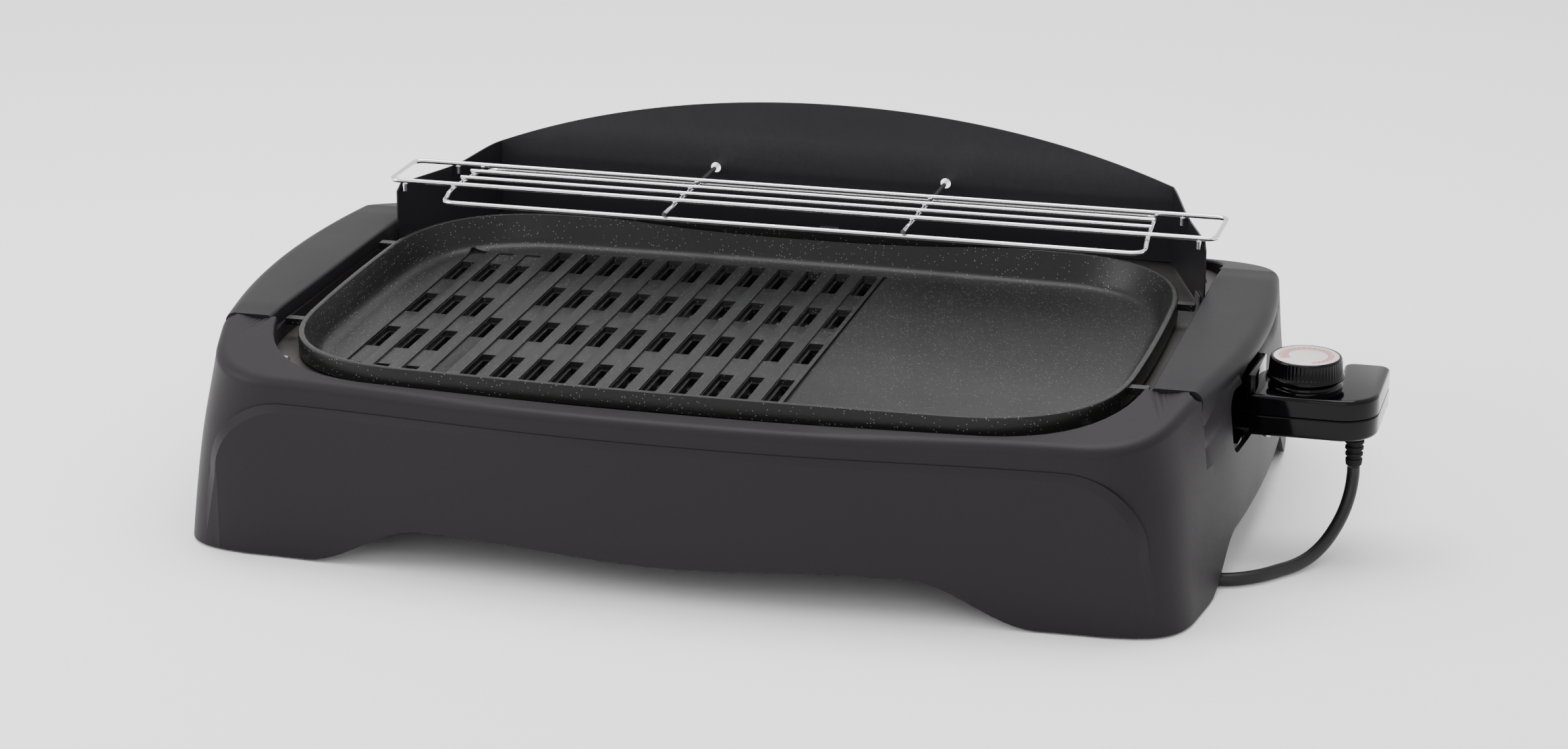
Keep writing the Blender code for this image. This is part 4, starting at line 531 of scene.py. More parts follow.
def add_apron(piece):
    """Union the bent slab with the housing."""
    border, face = apron_outline(0.0), apron_outline(APRON_BEVEL)
    layers = ((border, APRON_BACK), (border, APRON_BORDER), (face, APRON_FACE))
    bm = loft([[(x, y, z) for x, z in outline] for outline, y in layers])
    for k in range(-17, 18):
        everything = bm.verts[:] + bm.edges[:] + bm.faces[:]
        bmesh.ops.bisect_plane(bm, geom=everything, plane_co=(k * 0.0152, 0, 0), plane_no=(1, 0, 0))
    for vert in bm.verts:
        vert.co.y += FRONT_Y + bow(vert.co.x, HOUSING_BOW) + 0.0075 * ease((abs(vert.co.x) - 0.250) / 0.024)
    cut(piece, bm, "UNION")


add_apron(housing)
print("apron joined:", len(housing.data.polygons), "faces")

# %% [markdown]
# The lower edge is cut away in arches: two with a shallow belly between them along the front and rear,
# and one at each end. The handles and the thermostat need their cuts too.

# %% Arches, seats and window
FRONT_ARCH_HALF = 0.206
SIDE_ARCH_FRONT, SIDE_ARCH_REAR = -0.124, 0.134
ARCH_LOW = -0.01
THERMO_Y, ARM_HALF = -0.0265, 0.0235
WINDOW_Y, WINDOW_Z, WINDOW_ROUND = -0.0305, 0.084, 0.010
WINDOW_HALF_Y, WINDOW_HALF_Z = 0.030, 0.008
SEAT_INNER_X, PLATFORM_X, PLATFORM_LOW_Z, RECESS_TOP_Z = 0.2395, 0.2521, 0.1052, 0.140


def slab(outline, axis, low, high):
    """Extrude a closed outline along X or Y."""
    def lift(p, d):
        return (d, p[0], p[1]) if axis == "X" else (p[0], d, p[1])

    return loft([[lift(p, low) for p in outline], [lift(p, high) for p in outline]])


def front_arch(x):
    """Lower edge of the front and rear walls."""
    rise = 0.0245 * ease((FRONT_ARCH_HALF - abs(x)) / 0.070)
    return BASE_BOTTOM + rise - 0.0045 * ease((0.110 - abs(x)) / 0.110)


def side_arch(y):
    """Lower edge of the two end walls."""
    return BASE_BOTTOM + 0.0235 * ease((y - SIDE_ARCH_FRONT) / 0.055) * ease((SIDE_ARCH_REAR - y) / 0.045)


def lip_z(y):
    """Lower edge of a handle's lip: it sweeps down at the front."""
    return SEAT_Z - 0.0001 - 0.0125 * (1 - ease((y - HANDLE_FRONT_Y) / 0.030))


def handle_edge(y):
    return side_reach(y, SHOULDER_Z) - 0.0002


def stations(low, high, count):
    return [low + (high - low) * k / count for k in range(count + 1)]


def join_seats(piece):
    """Give each handle a platform, then cut the seat that the handle fills."""
    platform, recess = bmesh.new(), bmesh.new()
    for side in (-1, 1):
        rings = []
        for y in stations(HANDLE_FRONT_Y - 0.0022, HANDLE_REAR_Y + 0.0022, 24):
            outer, top = side_reach(y, SHOULDER_Z) - 0.0097, SEAT_Z + 0.0012
            section = [(PLATFORM_X, PLATFORM_LOW_Z), (outer, PLATFORM_LOW_Z), (outer, top), (PLATFORM_X, top)]
            rings.append([(side * x, y, z) for x, z in section])
        skin(platform, rings)
        rings = []
        for y in stations(HANDLE_FRONT_Y - 0.0003, HANDLE_REAR_Y + 0.0003, 36):
            edge, low = handle_edge(y), min(lip_z(y) - 0.0003, SEAT_Z - 0.0002)
            section = [(SEAT_INNER_X, RECESS_TOP_Z), (SEAT_INNER_X, SEAT_Z), (edge - 0.0031, SEAT_Z),
                       (edge - 0.0031, low), (edge + 0.030, low), (edge + 0.030, RECESS_TOP_Z)]
            rings.append([(side * x, y, z) for x, z in section])
        skin(recess, rings)
    cut(piece, platform, "UNION")
    cut(piece, recess)


def cut_arches(piece):
    half, start, end = FRONT_ARCH_HALF, SIDE_ARCH_FRONT, SIDE_ARCH_REAR
    spans = [-half + 2 * half * k / 72 for k in range(73)]
    front = [(-half, ARCH_LOW)] + [(x, front_arch(x)) for x in spans] + [(half, ARCH_LOW)]
    cut(piece, slab(front, "Y", -0.26, 0.26))
    spans = [start + (end - start) * k / 48 for k in range(49)]
    side = [(start, ARCH_LOW)] + [(y, side_arch(y)) for y in spans] + [(end, ARCH_LOW)]
    cut(piece, slab(side, "X", -0.36, 0.36))


def cut_window(piece):
    """A round-cornered opening for the thermostat's arm, and a notch above it for the flange."""
    window = []
    for sy, sz, start in ((1, 1, 0), (-1, 1, 90), (-1, -1, 180), (1, -1, 270)):
        for k in range(9):
            a = math.radians(start + 90 * k / 8)
            window.append((WINDOW_Y + sy * WINDOW_HALF_Y + WINDOW_ROUND * math.cos(a),
                           WINDOW_Z + sz * WINDOW_HALF_Z + WINDOW_ROUND * math.sin(a)))
    cut(piece, slab(window, "X", 0.2600, 0.3400))
    notch = bmesh.new()
    block(notch, (0.2890, THERMO_Y - ARM_HALF, 0.0930), (0.3400, THERMO_Y + ARM_HALF, 0.1250))
    cut(piece, notch)


join_seats(housing)
cut_arches(housing)
cut_window(housing)
housing.data.shade_smooth()
housing.data.set_sharp_from_angle(angle=math.radians(15))
dress(housing, housing_plastic, "housing_plastic", "base", "base_housing")
print("housing faces:", len(housing.data.polygons))

# %% [markdown]
# ## The handles
# Each handle is a grip that drops into the deck and hangs over the shoulder of the housing. Its outer edge
# follows the bulge of the end, so its section is worked out station by station and skinned along Y. A bar
# with one section would stand proud at its ends, where the housing curves away.

# %% Handles
BLEND_RUN = 0.022
INNER_ROLL = 0.0020


def handle_section(y):
    """Seat, lip, rolled outer edge and crowned top; both ends blend into the housing's roll."""
    low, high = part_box("handle_right")
    share = ease(min(y - HANDLE_FRONT_Y, HANDLE_REAR_Y - y) / BLEND_RUN)
    inner, edge, top = low.x, handle_edge(y), high.z - 0.0009 * (1.0 - share)
    seat = SEAT_Z + 0.0003
    roll_x, roll_z = 0.0062 + 0.0023 * share, 0.0060 + 0.0018 * share
    section = [(inner, seat), (edge - 0.0028, seat), (edge - 0.0028, lip_z(y)), (edge - 0.0005, lip_z(y)),
               (edge, lip_z(y) + 0.0006)]
    for k in range(10):
        a = math.radians(10 * k)
        section.append((edge - roll_x + roll_x * math.cos(a), top - roll_z + roll_z * math.sin(a)))
    for k in range(5):
        a = math.radians(90 + 22.5 * k)
        section.append((inner + INNER_ROLL * (1 + math.cos(a)), top - INNER_ROLL * (1 - math.sin(a))))
    return section


def make_handle(side, name):
    rings = [[(side * x, y, z) for x, z in handle_section(y)]
             for y in stations(HANDLE_FRONT_Y, HANDLE_REAR_Y, 48)]
    handle = finish_mesh(loft(rings), name + "_skin", 30)
    return dress(handle, handle_plastic, "handle_plastic", "base", name)


for side, name in ((-1, "handle_left"), (1, "handle_right")):
    make_handle(side, name)
print("handles: 2")

# %% [markdown]
# ## The grill plate
# The plate is a casting: a deep rim, a wall that slopes in to the cooking floor, and ribs over the left
# two thirds of it. The floor starts solid; grooves between the ribs and drain slots are cut out of it.

# %% Plate shape
PLATE_TILT = math.radians(1.0)
PIVOT = Vector((0.0, -0.024, 0.1145))
RIM_Z, COOK_Z, UNDER_Z = 0.1145, 0.0962, 0.0880
RIM_HALF_X, RIM_BULGE_RADIUS, RIM_CENTRE_Y = 0.2400, 1.6, -0.0200
RIM_FRONT_Y, RIM_REAR_Y = -0.1780, 0.1310
PITCH, FIRST_X, LAST_COLUMN = 0.0175, -0.1319, 10
SLOT_REAR_Y, ROW_PITCH, SHORT_SHIFT = 0.0902, 0.0643, -0.0290
GROOVE_HALF, POCKET_HALF, SLOT_HALF = 0.0048, 0.0044, 0.0030
GROOVE_DEPTH, POCKET_DEPTH = 0.0011, 0.0042
GROOVE_FRONT_Y, GROOVE_REAR_Y, POCKET_FRONT_Y = -0.1530, 0.1060, -0.1525


def rim_ring(inset, z):
    """Plan of the plate, drawn in from its rim."""
    return level(plan_outline(RIM_HALF_X - inset, RIM_BULGE_RADIUS, RIM_FRONT_Y + inset, RIM_REAR_Y - inset,
                              0.0050, 0.0820 - inset * 0.7, side_centre=RIM_CENTRE_Y), z)


def slot_columns():
    """x, shift along y, and rows for each column of slots."""
    every = (0, 1, 2, 3)
    columns = [(FIRST_X + i * PITCH, 0.0, (0, 2) if i == -1 else every) for i in range(-1, LAST_COLUMN + 1)]
    return columns + [(FIRST_X + i * PITCH, SHORT_SHIFT, every) for i in (-4, -3, -2)]


def cast_plate():
    """The plate before cutting: underside, skirt, rim, sloping wall and cooking floor."""
    steps = [(0.0110, UNDER_Z), (0.0072, RIM_Z - 0.0102), (0.0045, RIM_Z - 0.0112), (0.0006, RIM_Z - 0.0112),
             (0.0, RIM_Z - 0.0106), (0.0, RIM_Z - 0.0012), (0.0004, RIM_Z - 0.0003), (0.0012, RIM_Z),
             (0.0024, RIM_Z), (0.0032, RIM_Z - 0.0003), (0.0037, RIM_Z - 0.0012), (0.0090, COOK_Z + 0.0056),
             (0.0102, COOK_Z + 0.0030), (0.0122, COOK_Z + 0.0011), (0.0150, COOK_Z + 0.0002),
             (0.0175, COOK_Z)]
    return finish_mesh(loft([rim_ring(inset, z) for inset, z in steps]), "grill_plate_skin")


def cut_ribs(plate):
    """Shallow grooves, a pocket round each slot, and the slots themselves."""
    grooves, pockets, slots = bmesh.new(), bmesh.new(), bmesh.new()
    for x, shift, rows in slot_columns():
        block(grooves, (x - GROOVE_HALF, GROOVE_FRONT_Y, COOK_Z - GROOVE_DEPTH),
              (x + GROOVE_HALF, GROOVE_REAR_Y + shift * 0.3, COOK_Z + 0.0020))
        for row in rows:
            y = SLOT_REAR_Y - row * ROW_PITCH + shift
            front = max(y - 0.0190, POCKET_FRONT_Y) if row < 3 else POCKET_FRONT_Y
            block(pockets, (x - POCKET_HALF, front, COOK_Z - POCKET_DEPTH),
                  (x + POCKET_HALF, y + 0.0170, COOK_Z + 0.0010))
            block(slots, (x - SLOT_HALF, y - 0.0143, UNDER_Z - 0.002),
                  (x + SLOT_HALF, y + 0.0143, COOK_Z + 0.001))
    line = FIRST_X + (LAST_COLUMN + 0.5) * PITCH
    block(grooves, (line - 0.0012, GROOVE_FRONT_Y, COOK_Z - 0.0020), (line + 0.0012, 0.1080, COOK_Z + 0.0020))
    cut(plate, grooves)
    cut(plate, pockets)
    soften(plate, 0.0007, 2, 50)
    cut(plate, slots)


def add_ears(plate):
    """A step in the rear wall, and two ears at each end that rest on the deck."""
    step = bmesh.new()
    block(step, (-0.1850, 0.1258, RIM_Z - 0.0062), (0.1880, 0.1282, RIM_Z + 0.0010))
    cut(plate, step)
    ears = bmesh.new()
    for side in (-1, 1):
        for y in (-0.1000, 0.0500):
            rim_x = RIM_HALF_X - (y - RIM_CENTRE_Y) ** 2 / (2 * RIM_BULGE_RADIUS)
            block(ears, (side * (rim_x - 0.0015), y - 0.0030, RIM_Z - 0.0052),
                  (side * 0.2480, y + 0.0030, RIM_Z - 0.0014))
    cut(plate, ears, "UNION")


def make_plate():
    plate = cast_plate()
    cut_ribs(plate)
    add_ears(plate)
    plate.data.shade_smooth()
    plate.data.set_sharp_from_angle(angle=math.radians(30))
    tilt = Matrix.Translation(PIVOT) @ Matrix.Rotation(PLATE_TILT, 4, "X") @ Matrix.Translation(-PIVOT)
    plate.data.transform(tilt)
    return dress(plate, coating, "nonstick_coating", "base", "grill_plate")


plate = make_plate()
print("plate faces:", len(plate.data.polygons))

# %% [markdown]
# ## The wind guard
# One sheet of painted steel: an arched back panel with a wing folded forward at each end. It could be cut
# from a block, but one row of upright faces thickened by a modifier keeps the sheet even round both folds.

# %% Guard
GUARD_Y, BEND_X, WING_X, WING_Y = 0.1750, 0.2135, 0.2485, 0.0810
WING_TOP, GUARD_LOW, GUARD_TOP = 0.1420, 0.1010, 0.1852
SHEET, HOOK_X, HOOK_HOLE_R = 0.0010, 0.0730, 0.0032
CROSS_Z = (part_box("rack_cross_wire_left")[0].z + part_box("rack_cross_wire_left")[1].z) / 2


def guard_top(x):
    """Height of the arched top edge."""
    return GUARD_TOP - 0.72 * x * x - 2.1 * x ** 4


def guard_columns():
    """x, y and top of the sheet, from one wing's tip to the other's."""
    columns = []
    for k in range(25):
        t = 1 - k / 24
        x = BEND_X + (WING_X - BEND_X) * t
        top = WING_TOP + (guard_top(BEND_X) - WING_TOP) * ease((0.50 - t) / 0.50)
        top -= 0.0045 * max(0.0, 1 - (1 - t) / 0.045) ** 2
        columns.append((-x, GUARD_Y - (GUARD_Y - WING_Y) * t, top))
    back = [-BEND_X + 2 * BEND_X * k / 90 for k in range(1, 90)]
    columns += [(x, GUARD_Y, guard_top(x)) for x in back]
    return columns + [(-x, y, z) for x, y, z in columns[24::-1]]


def make_guard():
    """One row of faces, thickened into a sheet, with a hole for each hook of the rack."""
    columns = guard_columns()
    bm = bmesh.new()
    low = [bm.verts.new((x, y, GUARD_LOW)) for x, y, z in columns]
    high = [bm.verts.new((x, y, z)) for x, y, z in columns]
    for i in range(len(columns) - 1):
        bm.faces.new((low[i], low[i + 1], high[i + 1], high[i]))
    guard = finish_mesh(bm, "wind_guard_skin")
    sheet = guard.modifiers.new("sheet", "SOLIDIFY")
    sheet.thickness = SHEET
    sheet.offset = 0.0
    apply_all(guard)
    holes = bmesh.new()
    for side in (-1, 1):
        x = side * HOOK_X
        rod(holes, (x, GUARD_Y - 0.01, CROSS_Z), (x, GUARD_Y + 0.01, CROSS_Z), HOOK_HOLE_R, 28)
    cut(guard, holes)
    guard.data.shade_smooth()
    guard.data.set_sharp_from_angle(angle=math.radians(25))
    return dress(guard, guard_paint, "painted_steel", "wind_guard", "wind_guard")


make_guard()
print("guard top:", round(guard_top(0.0), 4))

# %% [markdown]
# ## The warming rack
# Every bar of the rack is a bent wire, so each is a curve with a round bevel. Their paths come from the
# frame's own boxes: the two loops, two long wires, two cross wires and four short studs.

# %% Rack wires
THICK_WIRE, THIN_WIRE = 0.0030, 0.0026


def wire(name, points, diameter, closed=False):
    """A round wire along a path."""
    curve = bpy.data.curves.new(name, "CURVE")
    curve.dimensions = "3D"
    curve.bevel_depth = diameter / 2
    curve.bevel_resolution = 5
    curve.use_fill_caps = not closed
    spline = curve.splines.new("POLY")
    spline.points.add(len(points) - 1)
    for slot_at, point in zip(spline.points, points):
        slot_at.co = (*point, 1.0)
    spline.use_cyclic_u = closed
    piece = bpy.data.objects.new(name, curve)
    bpy.context.scene.collection.objects.link(piece)
    return piece


def rounded(corners, radius, steps=8):
    """A closed path whose corners are taken as arcs."""
    points = []
    for i, corner in enumerate(corners):
        here = Vector(corner)
        before = (Vector(corners[i - 1]) - here).normalized()
        after = (Vector(corners[(i + 1) % len(corners)]) - here).normalized()
        for k in range(steps + 1):
            t = k / steps
            points.append(tuple(here + before * radius * (1 - t) ** 2 + after * radius * t ** 2))
    return points


def rack_wire(piece, node):
    return dress(piece, chrome, "chrome_wire", "rack", node)


low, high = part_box("rack_support_loop")
half_wire = THICK_WIRE / 2
left_x, right_x = low.x + half_wire, high.x - half_wire
front_y, rear_y = low.y + half_wire, high.y - half_wire
top_z = (low.z + high.z) / 2
loop = rounded([(left_x, front_y, top_z), (right_x, front_y, top_z), (right_x, rear_y, top_z),
                (left_x, rear_y, top_z)], 0.0065)
rack_wire(wire("support_loop", loop, THICK_WIRE, True), "rack_support_loop")
print("support loop:", round(high.x - low.x, 4), "m long")

# %% Basket loop, long wires, cross wires and studs
low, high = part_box("rack_basket_loop")
basket_z = low.z + half_wire
front_half, rear_half = 0.2150, 0.2095
BASKET_FRONT_Y, BASKET_REAR_Y = 0.0650, 0.1470
basket = rounded([(-front_half, BASKET_FRONT_Y, basket_z), (front_half, BASKET_FRONT_Y, basket_z),
                  (rear_half, BASKET_REAR_Y, basket_z), (-rear_half, BASKET_REAR_Y, basket_z)], 0.010)


def basket_end(side):
    """The basket's ends rise to meet the long wires."""
    points = []
    for k in range(1, 16):
        t = 0.12 + 0.76 * k / 16
        lift = ease(min(t, 1 - t) / 0.30)
        points.append((side * (front_half + (rear_half - front_half) * t),
                       BASKET_FRONT_Y + (BASKET_REAR_Y - BASKET_FRONT_Y) * t,
                       basket_z + (high.z - half_wire - basket_z) * lift))
    return points


basket = basket[:18] + basket_end(1) + basket[18:36] + basket_end(-1)[::-1]
rack_wire(wire("basket_loop", basket, THICK_WIRE, True), "rack_basket_loop")
for end in ("front", "rear"):
    low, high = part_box("rack_inner_wire_" + end)
    y, z = (low.y + high.y) / 2, (low.z + high.z) / 2
    rack_wire(wire("long_wire_" + end, [(low.x, y, z), (high.x, y, z)], THIN_WIRE), "rack_inner_wire_" + end)
for side in ("left", "right"):
    low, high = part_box("rack_cross_wire_" + side)
    x = (low.x + high.x) / 2
    cross = wire("cross_wire_" + side, [(x, low.y, CROSS_Z), (x, high.y, CROSS_Z)], THICK_WIRE)
    rack_wire(cross, "rack_cross_wire_" + side)
    for end in ("front", "rear"):
        low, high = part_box("rack_stud_%s_%s" % (side, end))
        x, y = (low.x + high.x) / 2, (low.y + high.y) / 2
        stud = wire("stud_%s_%s" % (side, end), [(x, y, low.z), (x, y, high.z)], THICK_WIRE)
        rack_wire(stud, "rack_stud_%s_%s" % (side, end))

# %% [markdown]
# ## The thermostat
# Two glossy shells meet at a seam halfway up. Both follow one plan: a straight arm that enters the socket
# and an end block that reaches back. Their edges are rolled, which is what catches the light.

# %% Thermostat plan
ARM_LEFT_X, BLOCK_LEFT_X, BLOCK_RIGHT_X, BLOCK_REAR_Y = 0.2955, 0.3385, 0.3640, 0.0215
FRONT_ROUND, REAR_ROUND, SHELL_ROLL = 0.021, 0.0045, 0.0024
KNOB_X = 0.3225


def thermo_plan(inset):
    """Plan of the arm and its end block."""
    front, arm_rear = THERMO_Y - ARM_HALF + inset, THERMO_Y + ARM_HALF - inset
    left, right = ARM_LEFT_X + inset, BLOCK_RIGHT_X - inset
    step, rear = BLOCK_LEFT_X + inset, BLOCK_REAR_Y - inset
    points = [(left, front)]
    for size, start, cx, cy in ((FRONT_ROUND - inset, -90, right, front), (REAR_ROUND, 0, right, rear)):
        sign = 1 if start < 0 else -1
        for k in range(13):
            a = math.radians(start + 90 * k / 12)
            points.append((cx - size + size * math.cos(a), cy + sign * size + size * math.sin(a)))
    for k in range(9):
        a = math.radians(90 + 90 * k / 8)
        points.append((step + REAR_ROUND * (1 + math.cos(a)), rear - REAR_ROUND * (1 - math.sin(a))))
    return points + [(step, arm_rear), (left, arm_rear)]


def thermo_shell(name, seam_z, far_z):
    """One shell: its wall runs from the seam to a rolled far edge."""
    way = 1 if far_z > seam_z else -1
    rings = [level(thermo_plan(0.0005), seam_z), level(thermo_plan(0.0), seam_z + way * 0.0006)]
    for k in range(7):
        a = math.radians(90 * k / 6)
        outline = thermo_plan(SHELL_ROLL * (1 - math.cos(a)))
        rings.append(level(outline, far_z - way * SHELL_ROLL * (1 - math.sin(a))))
    return finish_mesh(loft(rings), name)


lower_box, upper_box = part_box("thermostat_lower_shell"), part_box("thermostat_upper_shell")
seam = (lower_box[1].z + upper_box[0].z) / 2
below_seam, above_seam = seam - 0.00015, seam + 0.00015
lower = thermo_shell("lower_shell_skin", below_seam, lower_box[0].z)
upper = thermo_shell("upper_shell_skin", above_seam, 0.0960)
print("seam at", round(seam, 4))

# %% Neck, flange plate and collar
NECK_X, NECK_END_X, NECK_HALF, NECK_LOW_Z, NECK_TOP_Z = 0.2840, 0.2975, 0.0180, 0.0745, 0.0895
FLANGE_HALF, FLANGE_LOW_Z, FLANGE_TOP_Z = 0.0205, 0.0870, 0.1062
BORE_HALF = 0.0158


def add_boxes(piece, *boxes):
    for low_corner, high_corner in boxes:
        bm = bmesh.new()
        block(bm, low_corner, high_corner)
        cut(piece, bm, "UNION")


add_boxes(lower, ((NECK_X, THERMO_Y - NECK_HALF, NECK_LOW_Z), (NECK_END_X, THERMO_Y + NECK_HALF, below_seam)))
add_boxes(upper,
          ((0.2936, THERMO_Y - FLANGE_HALF, FLANGE_LOW_Z), (0.2978, THERMO_Y + FLANGE_HALF, FLANGE_TOP_Z)),
          ((NECK_X, THERMO_Y - NECK_HALF, above_seam), (NECK_END_X, THERMO_Y + NECK_HALF, NECK_TOP_Z)))
for shell, node in ((lower, "thermostat_lower_shell"), (upper, "thermostat_upper_shell")):
    bore = bmesh.new()
    block(bore, (0.2830, THERMO_Y - BORE_HALF, 0.0755), (0.2920, THERMO_Y + BORE_HALF, 0.0872))
    cut(shell, bore)
    soften(shell, 0.0005, 2, 55)
    dress(shell, gloss_black, "gloss_plastic", "thermostat", node)
collar = turned([(0.0040, 0.0955), (0.0205, 0.0955), (0.0205, 0.0974), (0.0198, 0.0980), (0.0196, 0.0990),
                 (0.0188, 0.0998), (0.0060, 0.1000), (0.0040, 0.1000)], (KNOB_X, THERMO_Y))
dress(finish_mesh(collar, "thermostat_collar"), gloss_black, "gloss_plastic", "thermostat")
print("thermostat shells: 2")

# %% [markdown]
# ## The knob
# A knurled cap over a rolled skirt. The knurl is a ring of teeth: the ring's radius rises and falls with a
# cosine as it goes round, so each tooth has a soft crest. The face is a separate pale disc.

# %% Knob
KNOB_R = 0.0215
TEETH, TOOTH_DEPTH = 60, 0.00045
knob_low, knob_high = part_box("thermostat_knob")


def make_knob():
    """Rolled skirt, toothed wall, rounded top edge and a shallow seat for the face."""
    base, top = knob_low.z, knob_high.z
    steps = [(base, 0.0008, 0), (base + 0.0005, 0.0002, 0), (base + 0.0013, 0.0, 0),
             (base + 0.0021, 0.0003, 0), (base + 0.0025, 0.0009, 0), (base + 0.0030, 0.0010, 1),
             (top - 0.0016, 0.0016, 1), (top - 0.0012, 0.0018, 0), (top - 0.0006, 0.0020, 0),
             (top - 0.0001, 0.0026, 0), (top, 0.0032, 0), (top - 0.0010, 0.0034, 0)]
    angles = [2 * math.pi * k / (TEETH * 4) for k in range(TEETH * 4)]
    rings = []
    for z, inset, toothed in steps:
        ring = []
        for a in angles:
            r = KNOB_R - inset - toothed * TOOTH_DEPTH * (1 - math.cos(TEETH * a)) * 0.5
            ring.append((KNOB_X + r * math.cos(a), THERMO_Y + r * math.sin(a), z))
        rings.append(ring)
    return finish_mesh(loft(rings), "knob_skin", 40)


dress(make_knob(), gloss_black, "gloss_plastic", "knob", "thermostat_knob")
print("knob:", round(knob_high.x - knob_low.x, 4), "m across")

# %% [markdown]
# The heat scale is a wedge: a band between two radii that widens as the heat goes up. Radius and angle
# come from the object's own coordinates, measured from the knob's axis.

# %% Dial face
FACE_COLOUR, HEAT_COLOUR, TICK_COLOUR = (0.60, 0.56, 0.55), (0.46, 0.22, 0.21), (0.74, 0.70, 0.69)
BAND_INNER, BAND_OUTER, BAND_WIDENS = 0.0126, 0.0152, 0.0040
TICK_INNER, TICK_OUTER = 0.0133, 0.0148
DIAL_R = 0.0181


def make_dial():
    """Pale face, red heat wedge and fine ticks."""
    material = grained("dial_print", FACE_COLOUR, 0.32, grain=700, depth=0.03)
    tree = material.node_tree
    shader = tree.nodes["Principled BSDF"]
    place = add_node(tree, "TexCoord")
    split = add_node(tree, "SeparateXYZ")
    tree.links.new(place.outputs["Object"], split.inputs["Vector"])
    u = calc(tree, "SUBTRACT", split.outputs["X"], KNOB_X)
    v = calc(tree, "SUBTRACT", split.outputs["Y"], THERMO_Y)
    squares = calc(tree, "ADD", calc(tree, "MULTIPLY", u, u), calc(tree, "MULTIPLY", v, v))
    radius = calc(tree, "SQRT", squares)
    angle = calc(tree, "ARCTAN2", v, u)
    turn = calc(tree, "FRACT", calc(tree, "ADD", calc(tree, "DIVIDE", angle, 2 * math.pi), 0.20))
    inner = calc(tree, "SUBTRACT", BAND_INNER, calc(tree, "MULTIPLY", turn, BAND_WIDENS))
    band = calc(tree, "MULTIPLY", calc(tree, "GREATER_THAN", radius, inner),
                calc(tree, "LESS_THAN", radius, BAND_OUTER))
    red = calc(tree, "MULTIPLY", band, calc(tree, "LESS_THAN", turn, 0.80))
    spokes = calc(tree, "LESS_THAN", calc(tree, "FRACT", calc(tree, "MULTIPLY", turn, 30.0)), 0.16)
    ticks = calc(tree, "MULTIPLY", calc(tree, "GREATER_THAN", radius, TICK_INNER),
                 calc(tree, "LESS_THAN", radius, TICK_OUTER))
    ticks = calc(tree, "MULTIPLY", ticks, spokes)
    colour = blend(tree, ticks, blend(tree, red, FACE_COLOUR, HEAT_COLOUR), TICK_COLOUR)
    tree.links.new(colour, shader.inputs["Base Color"])
    return material


dial_low, dial_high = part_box("dial_disc")
disc = turned([(0.0, dial_low.z), (DIAL_R, dial_low.z), (DIAL_R, dial_high.z - 0.0002),
               (DIAL_R - 0.0003, dial_high.z), (0.0, dial_high.z)], (KNOB_X, THERMO_Y))
dress(finish_mesh(disc, "dial_face"), make_dial(), "dial_face", "knob", "dial_disc")
print("dial at", round(dial_high.z, 4))

# %% [markdown]
# ## The cord
# The cord is a little over 1.7 m of round 7.3 mm lead. It drops out of the strain relief, sweeps under the
# housing through the right-hand arch, comes out at the rear and lies there in one neat coil. A curve with
# a round bevel keeps its diameter all along, so only the centre line has to be drawn and smoothed.

# %% Cord route
CORD_D = 0.0073
LIE = 0.00395
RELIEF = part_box("strain_relief")
ROUTE = [
    (0.3504, -0.0200, 0.0489), (0.3504, -0.0202, 0.0440), (0.3496, -0.0230, 0.0352),
    (0.3475, -0.0280, 0.0262), (0.3438, -0.0350, 0.0178), (0.3390, -0.0436, 0.0110),
    (0.3330, -0.0530, 0.0062), (0.3262, -0.0632, 0.00425), (0.3180, -0.0738, LIE), (0.3075, -0.0858, LIE),
    (0.2935, -0.0945, LIE), (0.2760, -0.0962, LIE), (0.2560, -0.0900, LIE), (0.2370, -0.0750, LIE),
    (0.2210, -0.0520, LIE), (0.2080, -0.0220, LIE), (0.1960, 0.0120, LIE), (0.1820, 0.0500, LIE),
    (0.1640, 0.0880, LIE), (0.1420, 0.1240, LIE), (0.1210, 0.1580, LIE), (0.1060, 0.1900, LIE),
    (0.0970, 0.2200, LIE), (0.0936, 0.2420, LIE)]
COIL = (0.0500, 0.2850)
OUTER_TURN, INNER_TURN, SHIFT_RUN = 0.0439, 0.0362, 0.30
TAIL = [(0.0200, 0.3286, 0.0098), (0.0090, 0.3282, 0.0074), (-0.0030, 0.3266, 0.0074),
        (-0.0150, 0.3236, 0.0080), (-0.0262, 0.3203, 0.0083)]


def coil_turns():
    """Four turns: two side by side on the floor and two on top of them."""
    turns = []
    for k in range(4 * 24 + 7):
        t = k / 24
        a = 2 * math.pi * t
        change = ease((t - int(t)) / SHIFT_RUN)
        if t < 1.0:
            r, z = OUTER_TURN, LIE
        elif t < 2.0:
            r, z = OUTER_TURN + (INNER_TURN - OUTER_TURN) * change, LIE
        elif t < 3.0:
            r, z = INNER_TURN, LIE + CORD_D * change
        else:
            r, z = INNER_TURN + (OUTER_TURN - INNER_TURN) * ease((t - 3.0) / SHIFT_RUN), LIE + CORD_D
        turns.append((COIL[0] + r * math.cos(a), COIL[1] + r * math.sin(a), z))
    return turns


def smooth_line(points, pieces=6):
    """A finer line through the points, as a Catmull-Rom curve."""
    pts = [Vector(p) for p in points]
    pts = [pts[0] * 2 - pts[1]] + pts + [pts[-1] * 2 - pts[-2]]
    fine = []
    for i in range(1, len(pts) - 2):
        a, b, c, d = pts[i - 1], pts[i], pts[i + 1], pts[i + 2]
        for k in range(pieces):
            t = k / pieces
            fine.append(tuple(0.5 * ((2 * b) + (c - a) * t + (2 * a - 5 * b + 4 * c - d) * t ** 2
                                     + (3 * b - a - 3 * c + d) * t ** 3)))
    return fine + [tuple(pts[-2])]


